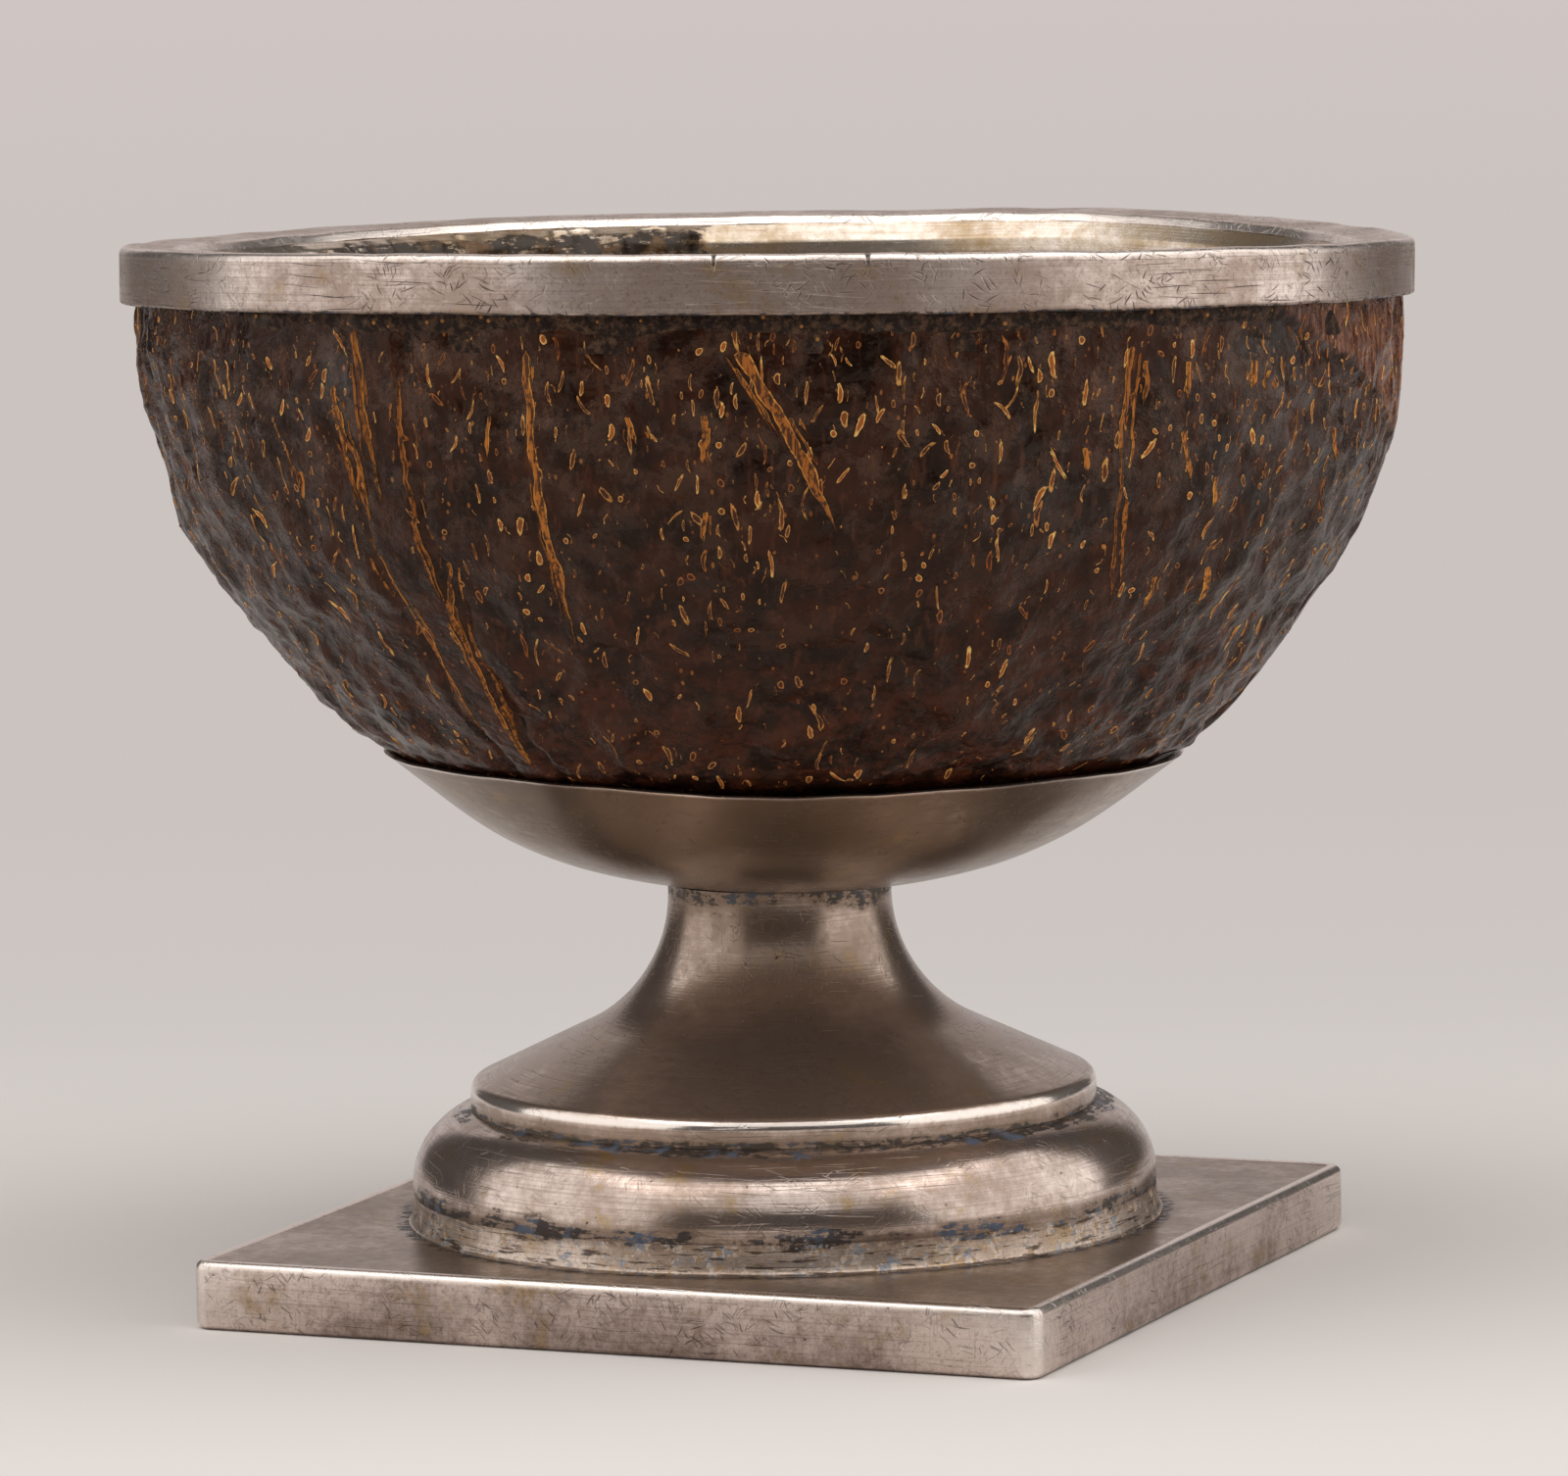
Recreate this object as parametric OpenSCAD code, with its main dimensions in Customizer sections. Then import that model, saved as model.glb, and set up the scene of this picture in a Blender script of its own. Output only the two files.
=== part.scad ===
// Coconut shell cup: silver-lined bowl in a dish-shaped calyx, on a trumpet stem,
// a half-round foot ring and a square plinth that is open below.
// One screw through the neck draws the lining, the shell, the calyx and the stem together.
// The origin is on the table under the middle of the plinth, with +Z up.

/* [Rim mount] */
// Outside diameter of the band round the mouth
rim_d = 110; // [100:1:120]
// Height of the rim mount, the lip and the band together
rim_h = 4.8; // [3.6:0.2:8]
// Thickness of the band
band_t = 0.8; // [0.5:0.1:1.2]
// Thickness of the flat lip over the cut edge of the shell
lip_t = 0.8; // [0.6:0.1:1.2]
// Thickness of the putty between the band and the shell
putty_t = 0.15; // [0.1:0.05:0.4]
// How far the putty is smeared down the shell under the band
putty_smear_h = 2.2; // [0.6:0.1:4]

/* [Coconut shell] */
// Depth of the round part of the shell
shell_depth = 48.2; // [44:0.2:53]
// Height of the straight part of the shell that shows under the band
shell_brow_h = 1.8; // [0.4:0.2:5]
// Thickness of the shell's wall
shell_t = 3.8; // [3:0.1:5]
// Height of the sutures that run down the shell
suture_h = 0.5; // [0.2:0.1:0.8]
// Width of a suture near the mouth
suture_w = 8; // [5:0.5:12]
// Direction of the first suture, in degrees from +X
suture_turn = -102; // [-180:1:180]

/* [Liner] */
// Thickness of the lining
liner_t = 0.5; // [0.4:0.1:0.8]
// Gap between the lining and the shell
liner_gap = 0.3; // [0.2:0.1:0.6]

/* [Calyx] */
// Height of the calyx from the stem to its lip
calyx_h = 11.1; // [10:0.1:14]
// Thickness of the calyx
calyx_t = 0.6; // [0.4:0.1:0.9]
// Gap between the lip of the calyx and the shell
calyx_gap = 0.2; // [0.1:0.05:0.5]
// Depth of the pitch that beds the shell, over the edge of the neck
pitch_t = 0.95; // [0.6:0.05:2]
// Diameter that the pitch spreads to
pitch_d = 48; // [36:1:58]

/* [Stem] */
// Height of the stem from the foot ring to the calyx
stem_h = 19.1; // [17:0.1:23]
// Diameter of the neck
neck_d = 19.2; // [17:0.2:23]
// Height of the straight collar at the top of the neck
collar_h = 0.7; // [0.2:0.1:1.5]
// Diameter of the shoulder
shoulder_d = 54; // [52:0.5:57]
// Height of the upright edge under the shoulder, up to its sharp corner
shoulder_edge_h = 2.2; // [1.8:0.1:3]
// Slope of the flare above the shoulder, in degrees
flare_angle = 25; // [22:1:31]
// Thickness of the sheet of the stem and the foot ring
sheet_t = 0.9; // [0.6:0.1:1.2]
// Inside radius of the bend at the shoulder
bend_r = 0.3; // [0.2:0.1:0.6]
// Thickness of the disc that closes the neck
cap_t = 1.5; // [1:0.1:2.5]

/* [Foot] */
// Diameter of the flange where it meets the plinth
flange_d = 66; // [64:0.2:70]
// How far the flange spreads past the foot of the ring
flange_spread = 0.95; // [0.6:0.05:2.4]
// Radius of the half-round ring's section
ring_r = 6.7; // [5.5:0.1:7.5]
// Height of the section's centre above the flange
ring_rise = 0.7; // [0.4:0.1:2]
// Width of the flat land inside the ring that carries the shoulder
ring_land = 2.4; // [1.6:0.1:4]
// Height of the flange
flange_h = 2.6; // [2:0.1:4]
// Height of the upright edge of the flange
flange_edge_h = 0.2; // [0.1:0.1:1]
// Width of the flange's top
flange_w = 2; // [1.4:0.1:3]

/* [Plinth] */
// Side of the square plinth
plinth_w = 76.1; // [74:0.1:90]
// Height of the plinth
plinth_h = 5.85; // [4:0.05:8]
// Thickness of the side walls
wall_t = 1.5; // [1:0.1:2.5]
// Inside radius of the bends at the corners
corner_bend_r = 0.1; // [0.1:0.05:0.5]
// Rounding of the outer edges of the walls
edge_r = 0.5; // [0.2:0.05:0.6]
// Thickness of the top plate
plate_t = 1.2; // [0.8:0.1:2]
// How far the plate lies below the top of the walls
plate_drop = 0.15; // [0.05:0.05:0.4]
// How far the plate reaches in past the flange
plate_ledge = 2; // [1:0.5:6]

/* [Fixing] */
// Diameter of the screw
stud_d = 4; // [3:0.5:5]
// Clearance round the screw in the pieces that it passes through
stud_gap = 0.3; // [0.2:0.1:0.5]
// Clearance between the screw and the nut
thread_gap = 0.05; // [0.03:0.01:0.1]
// Length of the screw below the nut
stud_tail = 2; // [1:0.5:3]
// Diameter of the plate under the lining
stud_plate_d = 14; // [11:0.5:18]
// Thickness of the plate under the lining
stud_plate_t = 1; // [0.8:0.1:1.6]
// Diameter of the washer
washer_d = 12; // [10:0.5:14]
// Thickness of the washer
washer_t = 1; // [0.6:0.1:1.6]
// Width of the square nut
nut_w = 8; // [7:0.5:9]
// Height of the nut
nut_h = 3.2; // [2:0.1:4]
// Gap that solder fills round a let-in piece
solder_gap = 0.05; // [0.03:0.01:0.1]

/* [Hidden] */
$fn = 96;
silver = [0.72, 0.69, 0.65];
shell_brown = [0.17, 0.11, 0.08];
putty_grey = [0.38, 0.34, 0.3];
pitch_black = [0.09, 0.07, 0.06];
brass = [0.72, 0.58, 0.3];

// Steps along a curve, and round the shell
curve_steps = 20;
shell_steps = 72;
outer_rings = 18;
inner_rings = 12;
// A coconut always has three sutures
sutures = 3;
// How closely the steps round the shell crowd towards the sutures
suture_crowding = 0.6;
// Degrees along the shell over which a suture fades in at the band and at the calyx
suture_fade = 6;

// Heights from the table upwards
plate_z = plinth_h - plate_drop;
flange_z = plate_z + flange_h;
ring_z = flange_z + ring_rise;
flange_top_r = flange_d / 2 - flange_spread;
ring_centre_r = flange_top_r - sqrt(pow(ring_r, 2) - pow(ring_rise, 2));
shoulder_r = shoulder_d / 2;
seat_z = ring_z + sqrt(pow(ring_r, 2) - pow(shoulder_r - ring_centre_r, 2));
corner_z = seat_z + shoulder_edge_h;
neck_r = neck_d / 2;
neck_z = seat_z + stem_h;
collar_z = neck_z - collar_h;
cap_z = neck_z - cap_t;
washer_z = cap_z - washer_t;
nut_z = washer_z - nut_h;

// The round part of the shell is half of an ellipse, turned: an angle of 0 is its lowest point
shell_r = rim_d / 2 - band_t - putty_t;
neck_turn = asin(neck_r / shell_r);
equator_z = neck_z + shell_depth * cos(neck_turn) - shell_normal(neck_turn)[1] * (pitch_t + calyx_t);
band_z = equator_z + shell_brow_h;
rim_z = band_z + rim_h;
lip_z = rim_z - lip_t;
calyx_lip_z = neck_z + calyx_h;
calyx_turn = acos((equator_z - calyx_lip_z) / shell_depth);
smear_z = band_z - putty_smear_h;
smear_turn = acos(max(0, equator_z - smear_z) / shell_depth);

// The inside of the shell and the lining follow the same ellipse
cavity_r = shell_r - shell_t;
cavity_depth = shell_depth - shell_t;
spot_margin = 0.5;
spot_r = stud_plate_d / 2 + spot_margin;
spot_turn = asin(spot_r / cavity_r);
spot_z = equator_z - cavity_depth * cos(spot_turn);
liner_r = cavity_r - liner_gap;
liner_depth = cavity_depth - liner_gap;
liner_z = spot_z + stud_plate_t;
stud_r = stud_d / 2;
stud_hole_r = stud_r + stud_gap;

// The foot's inner widths
flange_in_r = flange_top_r - flange_w;
plate_hole_r = flange_in_r - plate_ledge;

// Points along an arc, from one angle to another
function arc(centre, r, from, to, steps = curve_steps) =
    [for (i = [0 : steps]) centre + r * [cos(from + (to - from) * i / steps),
                                         sin(from + (to - from) * i / steps)]];

// A point on the bowl's ellipse, and the direction square to the shell's outside there
function bowl_point(r, depth, turn) = [r * sin(turn), equator_z - depth * cos(turn)];
function shell_normal(turn) =
    [shell_depth * sin(turn), -shell_r * cos(turn)] / norm([shell_depth * sin(turn), shell_r * cos(turn)]);

// Points along the bowl's ellipse, from one angle to another
function bowl_curve(r, depth, from, to, steps = curve_steps) =
    [for (i = [0 : steps]) bowl_point(r, depth, from + (to - from) * i / steps)];

// Space between the shell and the calyx, which closes from the neck to the lip
function calyx_space(turn) =
    max(calyx_gap, pitch_t + (calyx_gap - pitch_t) * (turn - neck_turn) / (calyx_turn - neck_turn));

// Points along the calyx, at a distance beyond the space that beds the shell
function calyx_curve(beyond, from, to, steps = curve_steps) =
    [for (i = [0 : steps]) let (turn = from + (to - from) * i / steps)
        bowl_point(shell_r, shell_depth, turn) + (calyx_space(turn) + beyond) * shell_normal(turn)];

// Points of a list from its end to its start
function backwards(points) = [for (i = [len(points) - 1 : -1 : 0]) points[i]];

// Corners of a square with rounded corners
function rounded_square(w, r) =
    [for (i = [0 : 3], p = arc((w / 2 - r) * [cos(i * 90) - sin(i * 90), sin(i * 90) + cos(i * 90)],
                               r, i * 90, i * 90 + 90, 6)) p];

// A round plate with a hole
module disc(r, hole_r, z, h) {
    overcut = 1;
    difference() {
        translate([0, 0, z]) cylinder(r = r, h = h);
        translate([0, 0, z - overcut]) cylinder(r = hole_r, h = h + 2 * overcut);
    }
}

// Flat ring with half-round edges
module rim_lip() {
    edge = lip_t / 2;
    in_r = liner_r - liner_t;
    middle_z = lip_z + edge;
    color(silver) rotate_extrude()
        polygon(concat(arc([rim_d / 2 - edge, middle_z], edge, -90, 90, 10),
                       arc([in_r + edge, middle_z], edge, 90, 270, 10)));
}

// Plain collar round the mouth
module rim_band() {
    color(silver) rotate_extrude()
        translate([rim_d / 2 - band_t, band_z]) square([band_t, lip_z - band_z]);
}

// Putty behind the band, smeared thin down the shell below it
module rim_putty() {
    band_in_r = rim_d / 2 - band_t;
    brow = smear_z < equator_z ? [[shell_r, equator_z]] : [];
    color(putty_grey) rotate_extrude()
        polygon(concat([[band_in_r, lip_z], [shell_r, lip_z]], brow,
                       [[shell_r * sin(smear_turn), smear_z], [band_in_r, band_z]]));
}

// Thin bowl with a flat bottom that rests on the plate of the screw
module bowl_liner() {
    outer_turn = acos((equator_z - liner_z) / liner_depth);
    inner_turn = acos((equator_z - liner_z - liner_t) / (liner_depth - liner_t));
    color(silver) rotate_extrude()
        polygon(concat([[0, liner_z]],
                       bowl_curve(liner_r, liner_depth, outer_turn, 90),
                       [[liner_r, lip_z], [liner_r - liner_t, lip_z]],
                       bowl_curve(liner_r - liner_t, liner_depth - liner_t, 90, inner_turn),
                       [[0, liner_z + liner_t]]));
}

// Plate that spreads the pull of the screw under the lining
module stud_plate() {
    color(brass) translate([0, 0, spot_z]) cylinder(d = stud_plate_d, h = stud_plate_t);
}

// Screw from the plate down through the neck
module stud() {
    tip_z = nut_z - stud_tail;
    color(brass) translate([0, 0, tip_z]) cylinder(r = stud_r, h = spot_z - tip_z);
}

// Direction of each step round the shell: the steps crowd towards the sutures
function shell_angle(i) =
    let (even = i * 360 / shell_steps)
    suture_turn + even - suture_crowding * sin(sutures * even) * 180 / PI / sutures;

// Height of the suture at a direction round the shell, from 0 to 1
function suture_crest(angle) =
    let (spacing = 360 / sutures,
         half_width = suture_w / 2 / shell_r * 180 / PI,
         turn = angle - suture_turn,
         away = turn - spacing * round(turn / spacing))
    exp(-pow(away / half_width, 2));

// How much of the suture is left at a point down the shell, from 0 to 1
function suture_fading(turn) =
    let (below_band = (smear_turn - turn) / suture_fade,
         above_calyx = (turn - calyx_turn) / suture_fade)
    max(0, min(1, below_band, above_calyx));

// Points of one ring of the shell: its radius and height, pushed out at the sutures
function shell_ring(point, turn, share) =
    [for (i = [0 : shell_steps - 1])
        let (angle = shell_angle(i),
             p = point + share * suture_h * suture_crest(angle) * shell_normal(turn))
        [p[0] * cos(angle), p[0] * sin(angle), p[1]]];

// The scraped shell, lofted ring by ring: down the outside, through the screw hole, up the inside
module coconut_shell() {
    hole_turn = asin(stud_hole_r / shell_r);
    outside = [for (i = [0 : outer_rings])
                  let (turn = 90 + (hole_turn - 90) * i / outer_rings)
                  shell_ring(bowl_point(shell_r, shell_depth, turn), turn, suture_fading(turn))];
    inside = [for (p = bowl_curve(cavity_r, cavity_depth, spot_turn, 90, inner_rings)) shell_ring(p, 0, 0)];
    rings = concat([shell_ring([shell_r, lip_z], 0, 0)], outside, [shell_ring([stud_hole_r, spot_z], 0, 0)],
                   inside, [shell_ring([cavity_r, lip_z], 0, 0)]);
    ring_count = len(rings);
    faces = [for (k = [0 : ring_count - 1], i = [0 : shell_steps - 1], half = [0, 1])
                let (next_k = (k + 1) % ring_count,
                     next_i = (i + 1) % shell_steps,
                     a = k * shell_steps + i,
                     b = k * shell_steps + next_i,
                     c = next_k * shell_steps + next_i,
                     d = next_k * shell_steps + i)
                half == 0 ? [a, b, c] : [a, c, d]];
    color(shell_brown) polyhedron([for (ring = rings, p = ring) p], faces);
}

// Pitch that fills the dish under the shell
module calyx_pitch() {
    pitch_turn = asin(pitch_d / 2 / shell_r);
    hole_turn = asin(stud_hole_r / shell_r);
    below = calyx_curve(0, neck_turn, pitch_turn);
    color(pitch_black) rotate_extrude()
        polygon(concat([[stud_hole_r, below[0][1]]], below,
                       bowl_curve(shell_r, shell_depth, pitch_turn, hole_turn)));
}

// Shallow dish with a flat bottom on the neck, cut level at its lip
module calyx() {
    past_lip = 6;
    outside = calyx_curve(calyx_t, neck_turn, calyx_turn + past_lip);
    inside = calyx_curve(0, neck_turn, calyx_turn + past_lip);
    color(silver) rotate_extrude() intersection() {
        polygon(concat([[stud_hole_r, outside[0][1]]], outside, backwards(inside),
                       [[stud_hole_r, inside[0][1]]]));
        square([rim_d, calyx_lip_z]);
    }
}

// Disc let into the top of the neck
module stem_cap() {
    color(silver) disc(neck_r - sheet_t - solder_gap, stud_hole_r, cap_z, cap_t);
}

module stud_washer() {
    color(brass) disc(washer_d / 2, stud_hole_r, washer_z, washer_t);
}

module stud_nut() {
    overcut = 1;
    color(brass) difference() {
        translate([-nut_w / 2, -nut_w / 2, nut_z]) cube([nut_w, nut_w, nut_h]);
        translate([0, 0, nut_z - overcut]) cylinder(r = stud_r + thread_gap, h = nut_h + 2 * overcut);
    }
}

// One side of the trumpet's sheet, moved in from the outside by some depth:
// collar, hollow sweep, straight flare, bend and upright edge
function stem_side(depth) =
    let (slope = flare_angle,
         sweep_r = ((collar_z - corner_z) * cos(slope) - (shoulder_r - neck_r) * sin(slope))
                   / (1 - sin(slope)),
         round_r = bend_r + sheet_t,
         bend_centre = [shoulder_r - round_r, corner_z + round_r * (tan(slope) - 1 / cos(slope))])
    concat([[neck_r - depth, neck_z]],
           arc([neck_r + sweep_r, collar_z], sweep_r + depth, 180, 270 - slope),
           arc(bend_centre, round_r - depth, 90 - slope, 0, 8),
           [[shoulder_r - depth, seat_z]]);

// Hollow trumpet
module stem() {
    color(silver) rotate_extrude() polygon(concat(stem_side(0), backwards(stem_side(sheet_t))));
}

// Half-round ring of sheet, with a flat land inside that carries the shoulder
module foot_ring() {
    centre = [ring_centre_r, ring_z];
    in_r = ring_r - sheet_t;
    land_in_r = shoulder_r - ring_land;
    under_land = asin((seat_z - sheet_t - ring_z) / in_r);
    inside_top = shoulder_r < ring_centre_r ? 180 - under_land : under_land;
    color(silver) rotate_extrude()
        polygon(concat(arc(centre, ring_r, -asin(ring_rise / ring_r),
                           acos((shoulder_r - ring_centre_r) / ring_r)),
                       [[land_in_r, seat_z], [land_in_r, seat_z - sheet_t]],
                       arc(centre, in_r, inside_top, -asin(ring_rise / in_r))));
}

// Wire with a hollow moulding that spreads out to the plinth
module foot_flange() {
    fall = flange_h - flange_edge_h;
    steps = 10;
    color(silver) rotate_extrude()
        polygon(concat([[flange_in_r, flange_z]],
                       [for (i = [0 : steps]) [flange_d / 2 - flange_spread * cos(90 * i / steps),
                                               flange_z - fall * sin(90 * i / steps)]],
                       [[flange_d / 2, plate_z], [flange_in_r, plate_z]]));
}

// Square sheet let in between the walls, open in the middle
module plinth_plate() {
    overcut = 1;
    plate_w = plinth_w - 2 * wall_t - 2 * solder_gap;
    color(silver) difference() {
        translate([0, 0, plate_z - plate_t]) linear_extrude(plate_t)
            polygon(rounded_square(plate_w, corner_bend_r));
        translate([0, 0, plate_z - plate_t - overcut]) cylinder(r = plate_hole_r, h = plate_t + 2 * overcut);
    }
}

// Section of a wall, from its inner face outwards, with its outer edges rounded
module wall_section() {
    polygon(concat([[0, 0]],
                   arc([wall_t - edge_r, edge_r], edge_r, -90, 0, 6),
                   arc([wall_t - edge_r, plinth_h - edge_r], edge_r, 0, 90, 6),
                   [[0, plinth_h]]));
}

// Strip bent to a square
module plinth_frame() {
    corner_r = corner_bend_r + wall_t;
    straight = plinth_w - 2 * corner_r;
    color(silver) for (turn = [0 : 90 : 270]) rotate(turn) {
        translate([plinth_w / 2 - wall_t, 0, 0]) rotate([90, 0, 0])
            linear_extrude(straight, center = true) wall_section();
        translate([straight / 2, straight / 2, 0]) rotate_extrude(angle = 90)
            translate([corner_bend_r, 0]) wall_section();
    }
}

rim_lip();
rim_band();
rim_putty();
bowl_liner();
stud_plate();
stud();
coconut_shell();
calyx_pitch();
calyx();
stem_cap();
stud_washer();
stud_nut();
stem();
foot_ring();
foot_flange();
plinth_plate();
plinth_frame();
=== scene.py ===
# %% [markdown]
# # Dressing a coconut cup
# This lesson dresses a CAD model of a coconut shell cup for a photograph. The cup is a scraped
# shell with a silver lining and rim, held in a silver dish on a trumpet stem and a square plinth.
# The CAD solids fix every size. Each piece that shows is built again here as a finer mesh of the
# same size, so that it can carry the waves, knocks and wear of a hand-made thing.
# Lengths are written in millimetres and turned into metres where a mesh is made.

import math

import bmesh
import bpy
import numpy as np
from mathutils import Matrix, Vector, noise


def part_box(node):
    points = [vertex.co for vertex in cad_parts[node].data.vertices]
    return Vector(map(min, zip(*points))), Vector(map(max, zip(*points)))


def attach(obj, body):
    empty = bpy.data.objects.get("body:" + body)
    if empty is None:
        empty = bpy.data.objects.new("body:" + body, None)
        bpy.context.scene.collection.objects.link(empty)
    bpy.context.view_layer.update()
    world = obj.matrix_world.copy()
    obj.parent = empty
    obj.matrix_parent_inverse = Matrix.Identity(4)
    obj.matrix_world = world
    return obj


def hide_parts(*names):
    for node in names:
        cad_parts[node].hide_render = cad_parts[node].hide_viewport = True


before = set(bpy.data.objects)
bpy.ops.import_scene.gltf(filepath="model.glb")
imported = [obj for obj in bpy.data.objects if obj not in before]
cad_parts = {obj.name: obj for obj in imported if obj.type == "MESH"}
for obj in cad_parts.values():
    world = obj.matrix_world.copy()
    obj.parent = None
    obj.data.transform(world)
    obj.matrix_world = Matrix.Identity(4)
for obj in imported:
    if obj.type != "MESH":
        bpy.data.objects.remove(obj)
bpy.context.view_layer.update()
MM = 0.001

# %% [markdown]
# ## Sizes
# A good habit is to ask the CAD model for its sizes and not to type them again. Only sizes that no
# box shows, such as the narrow part of the neck, are typed.


# %% Sizes
def node_span(node):
    """Radius, lowest and highest point of a CAD node, in mm."""
    low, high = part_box(node)
    return max(high.x, high.y) / MM, low.z / MM, high.z / MM


RIM_R, LIP_Z, RIM_Z = node_span("rim_lip")
BAND_Z = node_span("rim_band")[1]
SMEAR_Z = node_span("rim_putty")[1]
SHELL_R, SHELL_LOW_Z, _ = node_span("coconut_shell")
LINER_R, LINER_LOW_Z, _ = node_span("bowl_liner")
_, NECK_Z, CALYX_Z = node_span("calyx")
SHOULDER_R, SEAT_Z, _ = node_span("stem")
FLANGE_R, PLATE_Z, FLANGE_Z = node_span("foot_flange")
PLATE_LOW_Z = node_span("plinth_plate")[1]
PLINTH_HALF, _, PLINTH_H = node_span("plinth_frame")
STUD_R, STUD_LOW_Z, STUD_HIGH_Z = node_span("stud")

# Rim and lining
BAND_T = 0.8
LINER_T = 0.5
# Shell, with the straight brow above its widest line and the hole for the screw
SHELL_BROW_H = 1.8
SHELL_T = 3.8
STUD_HOLE_R = 2.3
# Dish, and the cement between it and the shell
PITCH_T = 0.95
CALYX_T = 0.6
CALYX_GAP = 0.2
# Stem and foot
NECK_R = 9.6
COLLAR_H = 0.7
SHOULDER_EDGE_H = 2.2
FLARE_ANGLE = 25
SHEET_T = 0.9
RING_R = 6.7
RING_RISE = 0.7
RING_LAND = 2.4
FLANGE_SPREAD = 0.95
FLANGE_EDGE_H = 0.2
FLANGE_W = 2
# Plinth
PLATE_LEDGE = 2
WALL_T = 1.5
CORNER_R = 1.6
EDGE_R = 0.75

EQUATOR_Z = BAND_Z - SHELL_BROW_H
SHELL_DEPTH = (EQUATOR_Z - SHELL_LOW_Z) / math.cos(math.asin(STUD_HOLE_R / SHELL_R))
CALYX_TURN = math.acos((EQUATOR_Z - CALYX_Z) / SHELL_DEPTH)
NECK_TURN = math.asin(NECK_R / SHELL_R)
print(f"rim {2 * RIM_R:.1f} mm wide, shell {SHELL_DEPTH:.1f} mm deep, plinth {2 * PLINTH_HALF:.1f} mm")

# %% [markdown]
# ## Camera
# The camera stands where the photographer's stood: a little above the rim, at a long focal length,
# and tilted by about one degree. Angles round the cup are counted from the side that faces the
# camera, positive to the right, because that makes it easy to say where a mark lies.

# %% Camera
CAMERA_PLACE = Vector((0.2438, -0.5638, 0.1092))
CAMERA_TURN = math.radians(23.326)
CAMERA_DROP = math.radians(5.797)
CAMERA_TILT = math.radians(1.083)
LENS_MM = 165.1
SENSOR_MM = 36

camera_right = Vector((math.cos(CAMERA_TURN), math.sin(CAMERA_TURN), 0))
camera_ahead = Vector((-math.sin(CAMERA_TURN) * math.cos(CAMERA_DROP),
                       math.cos(CAMERA_TURN) * math.cos(CAMERA_DROP),
                       -math.sin(CAMERA_DROP)))
camera_up = camera_right.cross(camera_ahead)
tilted_right = camera_right * math.cos(CAMERA_TILT) - camera_up * math.sin(CAMERA_TILT)
tilted_up = camera_up * math.cos(CAMERA_TILT) + camera_right * math.sin(CAMERA_TILT)
camera_data = bpy.data.cameras.new("camera")
camera_data.lens = LENS_MM
camera_data.sensor_width = SENSOR_MM
camera_data.clip_start = 0.01
camera_data.clip_end = 20
camera = bpy.data.objects.new("camera", camera_data)
camera.matrix_world = Matrix.Translation(CAMERA_PLACE) @ Matrix(
    (tilted_right, tilted_up, -camera_ahead)).transposed().to_4x4()
bpy.context.scene.collection.objects.link(camera)
bpy.context.scene.camera = camera
FACING = math.atan2(CAMERA_PLACE.y, CAMERA_PLACE.x)
print(f"camera {CAMERA_PLACE.length:.3f} m from the origin, lens {LENS_MM} mm")

# %% [markdown]
# ## Outlines and turned meshes
# Nearly every silver piece was raised or spun, so its shape is an outline turned round an axis.
# One function does the turning. It also stores three things that the finishes need later:
# a UV map that unrolls the piece in metres, a value that is high on edges that stick out, which
# the finish makes bright as polish and partly as a painted highlight, and a `grime` value where a
# cloth doesn't reach.


# %% Outlines
def arc(centre, r, start, end, steps=24):
    """Points along an arc in the plane of radius and height, in mm and degrees."""
    turns = np.radians(np.linspace(start, end, steps + 1))
    return np.column_stack((centre[0] + r * np.cos(turns), centre[1] + r * np.sin(turns)))


def smooth_step(low, high, x):
    """0 below low, 1 above high and a soft ramp between them; low may be the larger one."""
    t = np.clip((np.asarray(x, float) - low) / (high - low), 0, 1)
    return t * t * (3 - 2 * t)


def bump_at(x, centre, half_width):
    """A bell of height 1 round a centre."""
    return np.exp(-((np.asarray(x, float) - centre) / half_width) ** 2)


def rounded(corners, arc_steps=6):
    """Closed outline through (radius, height, rounding) corners, with each corner rounded."""
    points = []
    for i, (r, z, rounding) in enumerate(corners):
        corner = np.array((r, z), float)
        back = np.array(corners[i - 1][:2], float) - corner
        ahead = np.array(corners[(i + 1) % len(corners)][:2], float) - corner
        if rounding <= 0:
            points.append(corner)
            continue
        back = back / np.linalg.norm(back)
        ahead = ahead / np.linalg.norm(ahead)
        half = math.acos(np.clip(back @ ahead, -1, 1)) / 2
        reach = rounding / math.tan(half)
        middle = (back + ahead) / np.linalg.norm(back + ahead)
        centre = corner + middle * rounding / math.sin(half)
        first = corner + back * reach - centre
        last = corner + ahead * reach - centre
        for share in np.linspace(0, 1, arc_steps + 1):
            spoke = first * (1 - share) + last * share
            points.append(centre + spoke / np.linalg.norm(spoke) * rounding)
    return np.array(points)


def filled_in(points, spacing, closed=True):
    """The same outline with points added so that none are further apart than the spacing."""
    points = np.asarray(points, float)
    count = len(points) if closed else len(points) - 1
    rows = []
    for i in range(count):
        a = points[i]
        b = points[(i + 1) % len(points)]
        pieces = max(1, math.ceil(np.linalg.norm(b - a) / spacing))
        rows += [a + (b - a) * k / pieces for k in range(pieces)]
    if not closed:
        rows.append(points[-1])
    return np.array(rows)


def outline_wear_and_highlight(points, edges):
    """How close each point of an outline is to a bright edge, 0 to 1; the brightness is polish and partly
    a painted highlight. An edge has a radius, a height and a reach.
    """
    wear_and_highlight = np.zeros(len(points))
    for r, z, reach in edges:
        wear_and_highlight = np.maximum(wear_and_highlight, bump_at(np.hypot(points[:, 0] - r, points[:, 1] - z), 0, reach))
    return wear_and_highlight


print("outline tools ready")

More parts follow.
